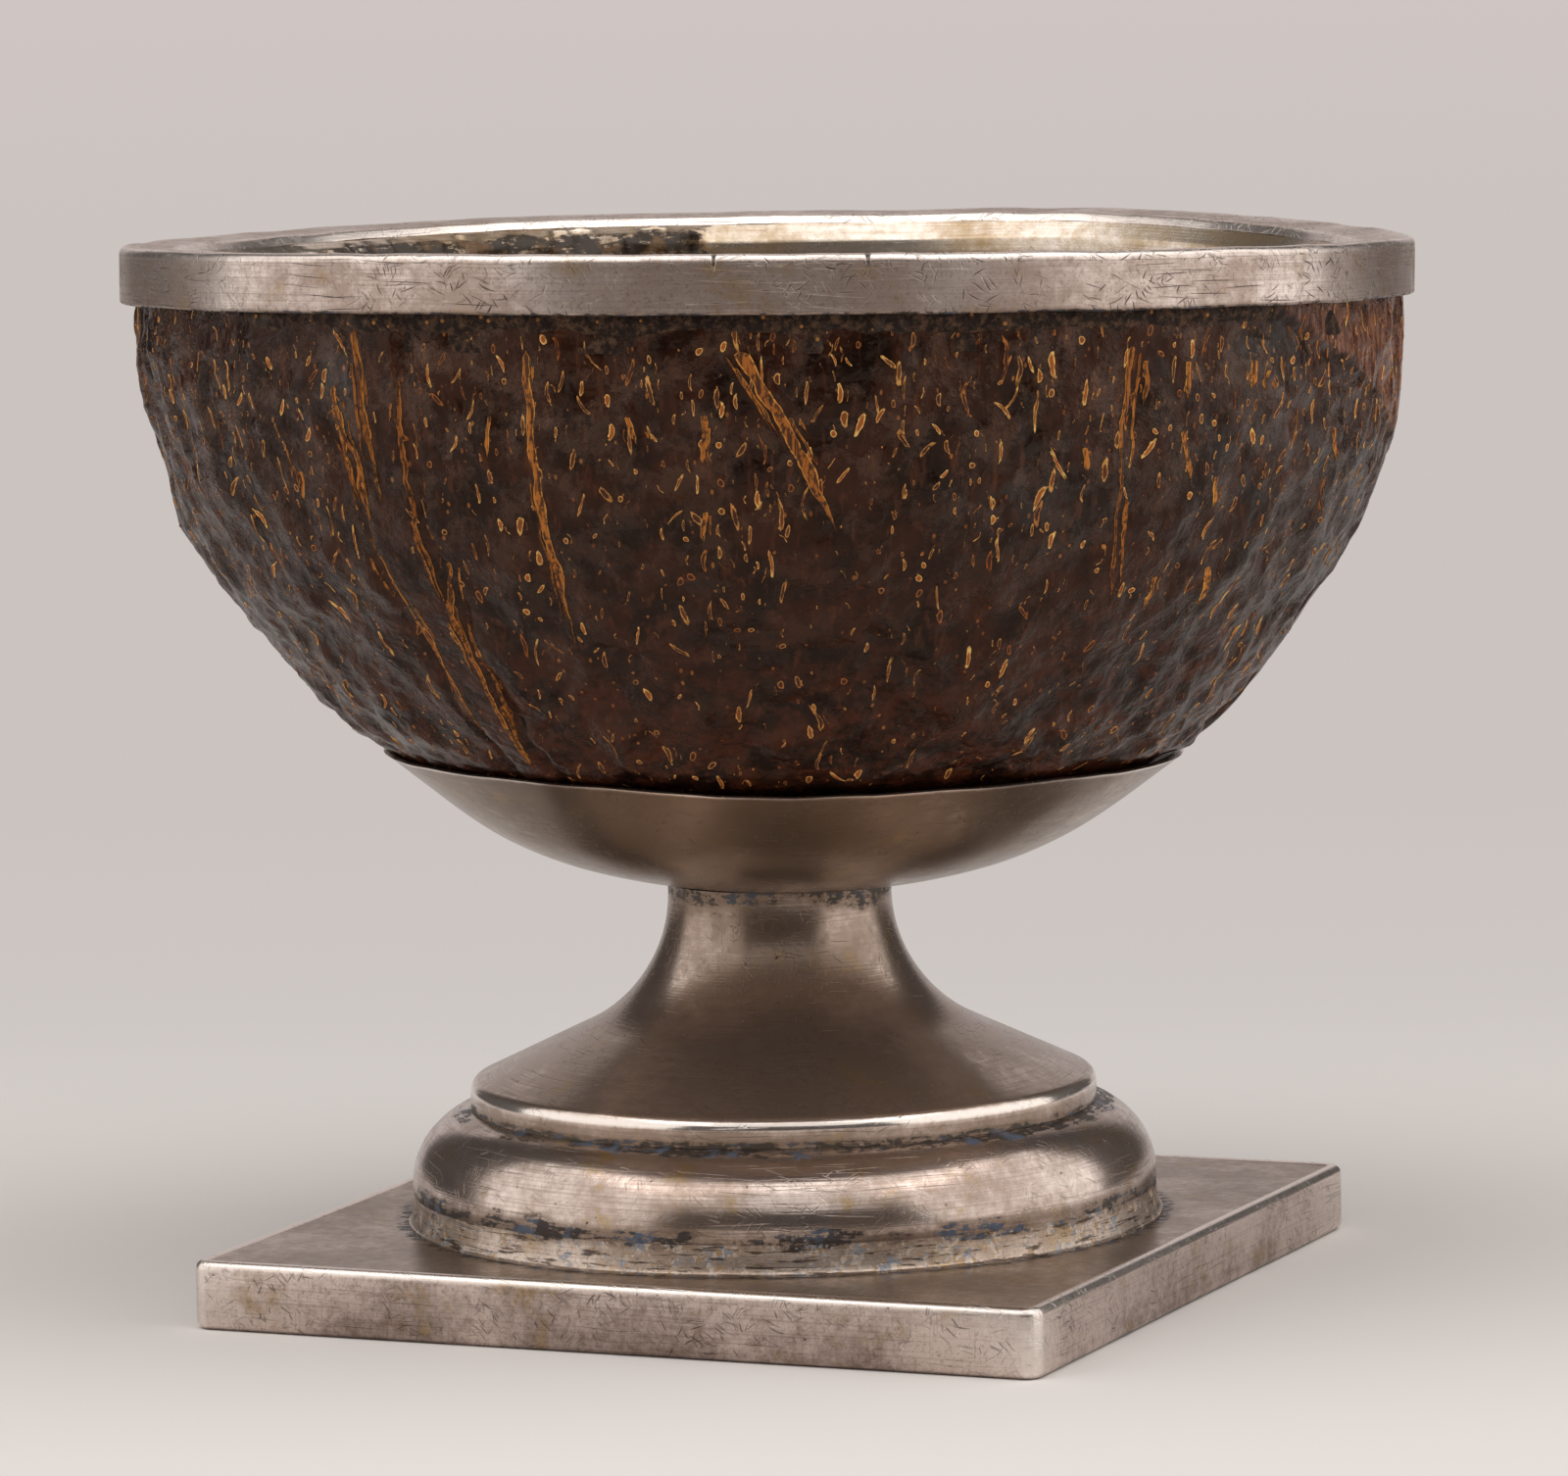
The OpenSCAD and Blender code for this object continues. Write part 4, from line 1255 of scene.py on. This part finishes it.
def lining_grime(phi, r, z):
    """Dirt below the roll, and burnt dirt over the folds up to a ragged line."""
    ragged = LIP_Z - 0.5 + 0.6 * round_noise(phi, r, 0 * z, 2.6, 3, 65.0)
    below_roll = 0.4 * smooth_step(LIP_Z - 1.8, LIP_Z - 2.8, z)
    burnt = crumple(phi, z) * smooth_step(ragged + 0.3, ragged - 0.3, z)
    return below_roll + burnt * (0.8 + lining_folds(phi, r, z))


def bowl_curve(r, depth, low_z, steps=70):
    """Points up the bowl's curve from a flat bottom to the mouth."""
    turns = np.linspace(math.acos((EQUATOR_Z - low_z) / depth), math.pi / 2, steps)
    return np.column_stack((r * np.sin(turns), EQUATOR_Z - depth * np.cos(turns)))


liner_depth = EQUATOR_Z - LINER_LOW_Z + LINER_FLAT_H
outer_bowl = bowl_curve(LINER_R, liner_depth, LINER_LOW_Z)
inner_bowl = bowl_curve(LINER_R - LINER_T, liner_depth - LINER_T, LINER_LOW_Z + LINER_T)
mouth_rows = np.linspace(EQUATOR_Z + 0.2, LIP_Z, 28)
mouth = np.column_stack((np.full(len(mouth_rows), LINER_R), mouth_rows))
liner_line = np.concatenate(([(0, LINER_LOW_Z)], outer_bowl, mouth, mouth[::-1] - (LINER_T, 0),
                             inner_bowl[::-1], [(0, LINER_LOW_Z + LINER_T)]))
liner = turned("lining", liner_line, lining_shape, lining_grime, turns=full_turn(480))
liner_silver = silver("silver_lining", paint(230, 219, 208), paint(176, 152, 122), 0.36, ticks=0.2,
                      lines=0.3, rough=0.22, grain=0.4, soil=paint(34, 22, 14),
                      patina=paint(118, 84, 44), blue=0.6)
show(liner, liner_silver, "silver", "bowl_liner")

# %% [markdown]
# ## Calyx
# The dish that holds the shell is thin sheet. Its lip was trimmed by hand and waves a little, and
# it follows the shell at a distance that shrinks towards the lip.


# %% Calyx
def calyx_curve(beyond, steps=46):
    """Points along the dish, a distance outside the space that beds the shell."""
    turns = np.linspace(NECK_TURN, CALYX_TURN + 0.012, steps)
    share = (turns - NECK_TURN) / (CALYX_TURN - NECK_TURN)
    space = np.maximum(CALYX_GAP, PITCH_T + (CALYX_GAP - PITCH_T) * share) + beyond
    full = bump_at(share, 0.42, 0.3) * np.clip(share / 0.12, 0, 1)
    space = space + 0.49 * full - 0.25 * smooth_step(0.55, 1.0, share)
    z = EQUATOR_Z - SHELL_DEPTH * np.cos(turns)
    r, out_r, out_z = shell_place(z)
    return np.column_stack((r + space * out_r, np.minimum(z + space * out_z, CALYX_Z)))


def calyx_shape(phi, r, z):
    """Dents the dish and waves its lip."""
    near_lip = smooth_step(CALYX_Z - 7, CALYX_Z, z)
    lip_wave = 0.35 - 0.55 * bump_at(phi, 0, math.radians(24)) - 0.25 * np.sin(phi)
    lip_wave = lip_wave + 0.1 * round_noise(phi, r, 0 * z, 7.0, 2, 73.0)
    return r + 0.09 * round_noise(phi, r, z, 9.0, 2, 71.0), z + near_lip * lip_wave


def calyx_grime(phi, r, z):
    """Dirt where the dish meets the neck, and under its lip."""
    at_neck = 0.7 * smooth_step(NECK_Z + 1.4, NECK_Z, z)
    return at_neck + 0.35 * smooth_step(CALYX_Z - 1.4, CALYX_Z - 0.6, z)


outside = calyx_curve(CALYX_T)
inside = calyx_curve(0)
calyx_line = np.concatenate(([(STUD_HOLE_R, outside[0][1])], outside, inside[::-1],
                             [(STUD_HOLE_R, inside[0][1])]))
# The dish's outer lip edge is made bright: polish, and partly a painted highlight.
calyx = turned("calyx", calyx_line, calyx_shape, calyx_grime, ((*outside[-1], 0.35),), lean=True)
calyx_silver = silver("silver_calyx", paint(200, 180, 164), paint(132, 112, 94), 0.5, ticks=0.25,
                      lines=0.3, rough=0.16, grain=0.4, rub_and_highlight=0.9)
show(calyx, calyx_silver, "silver", "calyx")

# %% [markdown]
# ## Stem and foot
# The trumpet stem, the half-round ring and the small flange are three separate pieces that were
# soldered together. Each is turned from its own outline. Grime sits where they meet, and mottles the
# neck.


# %% Stem
def stem_side(depth):
    """One side of the trumpet's sheet, from the neck down to the seat."""
    slope = math.radians(FLARE_ANGLE)
    corner_z = SEAT_Z + SHOULDER_EDGE_H
    collar_z = NECK_Z - COLLAR_H
    sweep_r = (((collar_z - corner_z) * math.cos(slope) - (SHOULDER_R - NECK_R) * math.sin(slope))
               / (1 - math.sin(slope)))
    round_r = 0.3 + SHEET_T
    bend = (SHOULDER_R - round_r, corner_z + round_r * (math.tan(slope) - 1 / math.cos(slope)))
    sweep_centre = (NECK_R + sweep_r, collar_z)
    return np.concatenate(([(NECK_R - depth, NECK_Z)],
                           arc(sweep_centre, sweep_r + depth, 180, 270 - FLARE_ANGLE, 40),
                           arc(bend, round_r - depth, 90 - FLARE_ANGLE, 0, 10),
                           [(SHOULDER_R - depth, SEAT_Z)]))


def stem_grime(phi, r, z):
    """Dirt at the seat and under the dish, and a mottled film on the neck."""
    ragged = 0.9 * round_noise(phi, r, 0 * z, 4.0, 3, 83.0)
    under_dish = smooth_step(NECK_Z - 2.2, NECK_Z - 0.6, z + ragged)
    mottled = np.clip(0.15 + round_noise(phi, r, z, 4.0, 3, 85.0), 0, 0.4)
    mottled = mottled * smooth_step(NECK_Z - 11, NECK_Z - 3, z)
    at_seat = 0.75 * smooth_step(SEAT_Z + 0.9, SEAT_Z + 0.2, z + 0.4 * ragged)
    return at_seat + np.maximum(0.66 * under_dish, mottled)


stem_line = filled_in(np.concatenate((stem_side(0)[::-1], stem_side(SHEET_T))), 0.45)
# The shoulder's edge is made bright: polish, and partly a painted highlight.
shoulder_edge = (SHOULDER_R, SEAT_Z + SHOULDER_EDGE_H - 0.3, 0.5)
stem = turned("stem", stem_line, dented(0.07, 12.0, 81.0), stem_grime, (shoulder_edge,))
stem_silver = silver("silver_stem", paint(212, 194, 182), paint(152, 132, 118), 0.46, ticks=0.3,
                     lines=0.4, rough=0.16, grain=0.3, dull=0.08, soil=paint(56, 46, 34))
show(stem, stem_silver, "silver", "stem")

# %% [markdown]
# The ring under the shoulder is half-round sheet, with a land inside on which the stem stands. Two arcs
# make its outline, and their ends are worked out from the stem above and the flange below.

# %% Foot ring
RING_Z = FLANGE_Z + RING_RISE
RING_CENTRE_R = FLANGE_R - FLANGE_SPREAD - math.sqrt(RING_R ** 2 - RING_RISE ** 2)


def ring_outline():
    """Half-round sheet with a land inside that carries the shoulder."""
    inner_r = RING_R - SHEET_T
    foot_turn = -math.degrees(math.asin(RING_RISE / RING_R))
    top_turn = math.degrees(math.acos((SHOULDER_R - RING_CENTRE_R) / RING_R))
    inner_foot = -math.degrees(math.asin(RING_RISE / inner_r))
    under_land = math.degrees(math.asin((SEAT_Z - SHEET_T - RING_Z) / inner_r))
    centre = (RING_CENTRE_R, RING_Z)
    land_r = SHOULDER_R - RING_LAND
    return np.concatenate((arc(centre, RING_R, foot_turn, top_turn, 40),
                           [(land_r, SEAT_Z), (land_r, SEAT_Z - SHEET_T)],
                           arc(centre, inner_r, under_land, inner_foot, 24)))


def ring_grime(phi, r, z):
    """Patchy dirt at the foot of the ring and under the shoulder."""
    patchy = 0.68 + 0.6 * round_noise(phi, r, z, 7.0, 3, 91.0)
    ragged = 0.7 * round_noise(phi, r * 0.45, z * 1.6, 1.8, 4, 95.0)
    foot = smooth_step(FLANGE_Z + 2.2, FLANGE_Z + 0.4, z + ragged)
    return patchy * (foot + 1.2 * smooth_step(SEAT_Z - 1.0, SEAT_Z - 0.2, z + 0.4 * ragged))


ring = turned("foot_ring", filled_in(ring_outline(), 0.5), dented(0.09, 11.0, 93.0), ring_grime)
ring_silver = silver("silver_ring", paint(220, 204, 195), paint(160, 140, 127), 0.4, ticks=0.35,
                     lines=0.5, stain=0.75, rough=0.14, grain=0.35, blue=0.75)
show(ring, ring_silver, "silver", "foot_ring")

# %% [markdown]
# The flange is a small moulded wire with a hollow sweep, which is a quarter of an ellipse. Cleaning
# paste has dried on it for years, so its silver also gets a crust.

# %% Foot flange
FLANGE_SWEEP = 0.5
flange_top_r = FLANGE_R - FLANGE_SPREAD
flange_foot_r = flange_top_r + FLANGE_SWEEP
flange_fall = FLANGE_Z - PLATE_Z - FLANGE_EDGE_H
sweep_turns = np.linspace(math.pi / 2, 0, 13)
sweep = np.column_stack((flange_foot_r - (flange_foot_r - flange_top_r) * np.cos(sweep_turns),
                         FLANGE_Z - flange_fall * np.sin(sweep_turns)))
flange_line = np.concatenate(([(flange_top_r - FLANGE_W, PLATE_Z), (flange_foot_r, PLATE_Z)], sweep,
                              [(flange_top_r - FLANGE_W, FLANGE_Z)]))


def flange_grime(phi, r, z):
    """Patchy dirt under the ring, and a little at the plate."""
    patchy = 0.55 + 0.6 * round_noise(phi, r, z, 6.0, 3, 97.0)
    at_plate = 0.4 * smooth_step(PLATE_Z + 0.4, PLATE_Z, z)
    return patchy * smooth_step(FLANGE_Z - 1.1, FLANGE_Z - 0.1, z) + at_plate


flange = turned("foot_flange", filled_in(flange_line, 0.35), dented(0.08, 9.0, 99.0), flange_grime)
flange_silver = silver("silver_flange", paint(220, 204, 192), paint(168, 148, 132), 0.4, ticks=0.3,
                       stain=0.5, crust=1.0, rough=0.32, blue=0.75)
show(flange, flange_silver, "silver", "foot_flange")

# %% [markdown]
# ## Plinth
# The frame of the plinth is one strip bent to a square, so its shape follows a rule: a section that
# travels along a square path with rounded corners. Geometry Nodes says just that, with the sizes as
# its inputs. A little noise then bends the long sides, as hammering leaves them, and the left side
# is lifted towards the back, where the old plinth has warped.

# %% Plinth strip
PLINTH_WARP = 0.75
PLINTH_BEND = 0.25


def frame_tree():
    """Geometry Nodes that sweep a wall's section along a rounded square."""
    sheet = Growth("plinth_strip", ("Width", "Corner", "Height", "Wall", "Edge", "Bend", "Warp"))
    given = sheet.given

    def rounded_box(width, height, corner, count):
        box = sheet.add("GeometryNodeCurvePrimitiveQuadrilateral", {"mode": "RECTANGLE"},
                        {"Width": width, "Height": height})
        return sheet.add("GeometryNodeFilletCurve", {"mode": "POLY"},
                         {"Curve": box, "Count": count, "Radius": corner, "Limit Radius": True})

    middle = given["Width"] - given["Wall"]
    path = rounded_box(middle, middle, given["Corner"] - given["Wall"] / 2, 6)
    path = sheet.add("GeometryNodeSubdivideCurve", None, {"Curve": path, "Cuts": 5})
    section = rounded_box(given["Wall"], given["Height"], given["Edge"], 5)
    strip = sheet.add("GeometryNodeCurveToMesh", None, {"Curve": path, "Profile Curve": section})
    strip = sheet.moved(strip, Offset=sheet.upward(given["Height"] / 2))
    level = sheet.add("ShaderNodeVectorMath", {"operation": "MULTIPLY"},
                      {0: sheet.jitter(60.0, 2.0), 1: (1.0, 1.0, 0.0)})
    strip = sheet.moved(strip, Offset=sheet.scaled(level, given["Bend"]))
    x, y, z = sheet.parts(sheet.add("GeometryNodeInputPosition"))
    backward = (y / given["Width"]).ramp(-0.5, 0.25)
    upper = (z / given["Height"]).ramp(0.3, 0.9)
    left = (x / given["Width"]).ramp(-0.1, -0.5)
    strip = sheet.moved(strip, Offset=sheet.upward(left * backward * upper * given["Warp"]))
    x, y, z = sheet.parts(sheet.add("GeometryNodeInputPosition"))
    # The top edge and the corners take the bright edge tone: partly polish, partly a painted highlight of
    # the rounded edges.
    top_edge = (z / given["Height"]).ramp(0.82, 0.99)
    corner = ((x.size() + y.size()) / given["Width"]).ramp(0.965, 0.987)
    strip = sheet.keep(strip, "wear_and_highlight", top_edge.most(corner * 0.8))
    return sheet.end(sheet.add("GeometryNodeRealizeInstances", None, {"Geometry": strip}))


def side_places(finish):
    """Places along the sides of a square: how far along, and how high."""
    x, y, z = finish.parts(finish.place)
    return finish.add("ShaderNodeCombineXYZ", None, {"X": x + y, "Y": z})


side_silver = silver("silver_sides", paint(206, 188, 178), paint(116, 97, 87), 0.4, ticks=0.8, lines=0.6,
                     turning=0.6, flat=side_places, rough=0.3)
plinth = grown("plinth_strip", bpy.data.meshes.new("empty_mesh"), frame_tree(),
               Width=2 * PLINTH_HALF * MM, Corner=CORNER_R * MM, Height=PLINTH_H * MM, Wall=WALL_T * MM,
               Edge=EDGE_R * MM, Bend=PLINTH_BEND * MM, Warp=PLINTH_WARP * MM, Material=side_silver)
show(plinth, side_silver, "silver", "plinth_frame")

# %% [markdown]
# The plate lies flush between the walls. A grid that runs from its round hole to its square edge is
# enough, and lets it sag a little and follow the warp of the strip. A high power of the sine and the
# cosine gives the square edge its barely rounded corners.

# %% Plinth plate
CORNER_POWER = 120
PLATE_ROWS = 26


def plate_mesh():
    """The plate as a grid between its round hole and its square edge, which laps onto the frame."""
    turns = full_turn(240)
    hole_r = FLANGE_R - FLANGE_SPREAD - FLANGE_W - PLATE_LEDGE
    half = PLINTH_HALF - WALL_T / 2
    square = np.abs(np.cos(turns)) ** CORNER_POWER + np.abs(np.sin(turns)) ** CORNER_POWER
    edge = half / square ** (1 / CORNER_POWER)
    shares = np.concatenate((np.linspace(0, 1, PLATE_ROWS), [1, 0]))
    levels = np.concatenate((np.full(PLATE_ROWS, PLATE_Z), [PLATE_LOW_Z, PLATE_LOW_Z]))
    r = hole_r + shares[:, None] * (edge - hole_r)
    x, y = r * np.cos(turns), r * np.sin(turns)
    sag = 0.12 * noise_field(x, y, 0 * x, 16.0, 2, 103.0) * (shares < 1)[:, None]
    width = 2 * PLINTH_HALF
    warp = smooth_step(-0.1, -0.5, x / width) * smooth_step(-0.5, 0.25, y / width)
    z = levels[:, None] + sag + PLINTH_WARP * warp
    dirt = 0.7 * smooth_step(FLANGE_R + 1.8, FLANGE_R - 0.2, r)
    dirt = dirt + 0.25 * smooth_step(0.97, 1.0, shares)[:, None]
    return make_object("plinth_plate_top", np.stack((x, y, z), axis=-1).reshape(-1, 3),
                       ring_faces(*r.shape).reshape(-1, 4), None, {"wear_and_highlight": 0 * r, "grime": dirt})


def top_places(finish):
    """Places on the plate: its own mm, as seen from above."""
    return finish.place


plate_silver = silver("silver_plate", paint(190, 172, 158), paint(128, 108, 92), 0.46, ticks=0.3,
                      lines=0.5, turning=0.4, flat=top_places, rough=0.26, grain=0.6)
show(plate_mesh(), plate_silver, "silver", "plinth_plate")

# %% [markdown]
# ## Fixing
# The screw, the nut and the discs are only seen from below. They keep their CAD shapes and get a
# dull brass or silver finish, apart from the screw, whose thread is turned as a true helix.

# %% Fixing
THREAD_PITCH = 0.7
THREAD_DEPTH = 0.22
THREAD_STEP = 0.14


def threaded(phi, r, z):
    """Cuts a helical groove into a rod."""
    phase = (z / THREAD_PITCH - phi / (2 * math.pi)) % 1
    cut = THREAD_DEPTH * np.abs(2 * phase - 1) * smooth_step(STUD_HIGH_Z - 3, STUD_HIGH_Z - 4, z)
    return np.where(r > 0.1, r - cut, r), z


stud_rows = np.arange(STUD_LOW_Z, STUD_HIGH_Z, THREAD_STEP)
stud_side = np.column_stack((np.full(len(stud_rows), STUD_R), stud_rows))
stud_line = np.concatenate(([(0, STUD_LOW_Z)], stud_side, [(STUD_R, STUD_HIGH_Z), (0, STUD_HIGH_Z)]))
stud = turned("screw", stud_line, threaded, turns=full_turn(48))


def blotched(name, size, first, second, rough, spread, sharp=False, **constants):
    """A plain finish in blotches between two tones, with its least roughness and how far that spreads."""
    finish = Finish(name, **constants)
    blotch = finish.cloud(finish.place, size, 3.0)
    share = blotch.ramp(0.35, 0.65) if sharp else blotch
    finish.feed(Base_Color=finish.mixed(share, first, second), Roughness=rough + spread * blotch)
    return finish.material


brass = blotched("old_brass", 2.5, paint(150, 122, 70), paint(84, 66, 42), 0.35, 0.25, True, Metallic=1.0)
cap_silver = blotched("silver_cap", 4.0, paint(150, 138, 128), paint(80, 70, 62), 0.35, 0.2, Metallic=1.0)
pitch = blotched("pitch", 2.0, paint(18, 15, 13), paint(44, 36, 30), 0.5, 0.3)
show(stud, brass, "brass", "stud")


def dress(node, material):
    """Puts a material on a CAD node that stays as it is."""
    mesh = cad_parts[node].data
    mesh.materials.clear()
    mesh.materials.append(material)
    print(f"{node}: CAD shape with {material.name}")


for brass_node in ("stud_plate", "stud_washer", "stud_nut"):
    dress(brass_node, brass)
dress("calyx_pitch", pitch)
dress("stem_cap", cap_silver)

# %% [markdown]
# ## Studio
# The picture is taken on pale paper between two large soft panels, with two more above. Silver
# shows what stands round it, so the panels matter twice: they light the cup, and their reflections
# draw its shape. Nothing bright stands at the camera's height, which is why the front of the neck
# mirrors a dark room. Behind the cup the paper glows like a lit backdrop, to the camera and in
# reflections; this glow is painted light, a little darker further back and a little brighter up the
# bend.

# %% Paper
PAPER_DEPTH = 0.9
PAPER_FRONT = 0.45
PAPER_HALF_W = 0.5
PAPER_BEND_R = 0.25
PAPER_TOP = 2.2
backward = Vector((-math.sin(CAMERA_TURN), math.cos(CAMERA_TURN), 0))


def paper_sheet():
    """A wide sheet of paper: flat under the cup, then bent up behind it."""
    bend = [(PAPER_DEPTH + PAPER_BEND_R * math.sin(t), PAPER_BEND_R * (1 - math.cos(t)))
            for t in np.linspace(0, math.pi / 2, 24)]
    line = [(-PAPER_FRONT, 0.0), *bend, (PAPER_DEPTH + PAPER_BEND_R, PAPER_TOP)]
    vertices = [camera_right * side + backward * depth + Vector((0, 0, z))
                for depth, z in line for side in (-PAPER_HALF_W, PAPER_HALF_W)]
    faces = [(2 * i, 2 * i + 1, 2 * i + 3, 2 * i + 2) for i in range(len(line) - 1)]
    mesh = bpy.data.meshes.new("paper")
    mesh.from_pydata(vertices, [], faces)
    mesh.shade_smooth()
    paper = bpy.data.objects.new("paper", mesh)
    bpy.context.scene.collection.objects.link(paper)
    return paper


paper = paper_sheet()
paper_finish = Finish("paper", Roughness=0.9, Specular_IOR_Level=0.2)
paper_tone = paper_finish.cloud(paper_finish.place, 160.0, 1.0)
paper_finish.feed(Base_Color=paper_finish.mixed(paper_tone, paint(226, 221, 218), paint(230, 225, 222)))
depth = paper_finish.add("ShaderNodeVectorMath", {"operation": "DOT_PRODUCT"},
                         {0: paper_finish.place, 1: backward}, output="Value")
_, _, rise = paper_finish.parts(paper_finish.place)
# Painted light on the glowing paper: a little darker further back, a little brighter up the bend.
backdrop = paper_finish.mixed(depth.ramp(60.0, 420.0), paint(206, 200, 197), paint(203, 195, 191))
backdrop = paper_finish.mixed(rise.ramp(40.0, 170.0), backdrop, paint(209, 200, 198))
glow = paper_finish.add("ShaderNodeEmission", None, {"Color": backdrop, "Strength": 1.0})
seen = paper_finish.add("ShaderNodeLightPath", output="Is Camera Ray")
rays = [paper_finish.other(seen, f"Is {kind} Ray") for kind in ("Glossy", "Transmission")]
seen = seen.most(rays[0]).most(rays[1])
blend = paper_finish.add("ShaderNodeMixShader", None,
                         {0: seen * depth.ramp(40.0, 200.0),
                          1: Wire(paper_finish, paper_finish.shader.outputs[0]), 2: glow})
paper_finish.plug(paper_finish.tree.nodes["Material Output"].inputs["Surface"], blend)
paper.data.materials.append(paper_finish.material)
print("paper laid")

# %% [markdown]
# A lamp's power is worked out from its size, so that a larger panel gives more light and its
# reflection in the silver stays as bright.

# %% Lamps
LAMP_AIM = Vector((0, 0, 0.05))
LAMP_TINT = (1.0, 0.98, 0.96)


def soft_lamp(name, turn, rise, distance, size, glow):
    """A rectangular lamp of even glow, at an angle from the camera's side and above the table."""
    data = bpy.data.lights.new(name, "AREA")
    data.shape = "RECTANGLE"
    data.size, data.size_y = size
    data.energy = glow * math.pi * size[0] * size[1]
    data.color = LAMP_TINT
    lamp = bpy.data.objects.new(name, data)
    angle = FACING + math.radians(turn)
    lamp.location = LAMP_AIM + distance * Vector((math.cos(angle) * math.cos(math.radians(rise)),
                                                  math.sin(angle) * math.cos(math.radians(rise)),
                                                  math.sin(math.radians(rise))))
    lamp.rotation_euler = (LAMP_AIM - lamp.location).to_track_quat("-Z", "Y").to_euler()
    bpy.context.scene.collection.objects.link(lamp)


soft_lamp("lamp_left", -76, 25, 0.8, (1.15, 0.95), 1.15)
soft_lamp("lamp_right", 78, 25, 0.8, (1.2, 1.0), 1.25)
soft_lamp("lamp_top", 0, 79, 0.75, (1.25, 0.7), 1.65)
soft_lamp("lamp_front", 0, 41, 0.9, (0.9, 0.5), 0.9)

world = bpy.data.worlds.new("room")
world.use_nodes = True
world.node_tree.nodes["Background"].inputs["Color"].default_value = paint(176, 168, 164)
world.node_tree.nodes["Background"].inputs["Strength"].default_value = 0.12
bpy.context.scene.world = world
bpy.context.scene.view_settings.view_transform = "Standard"
print("studio ready")
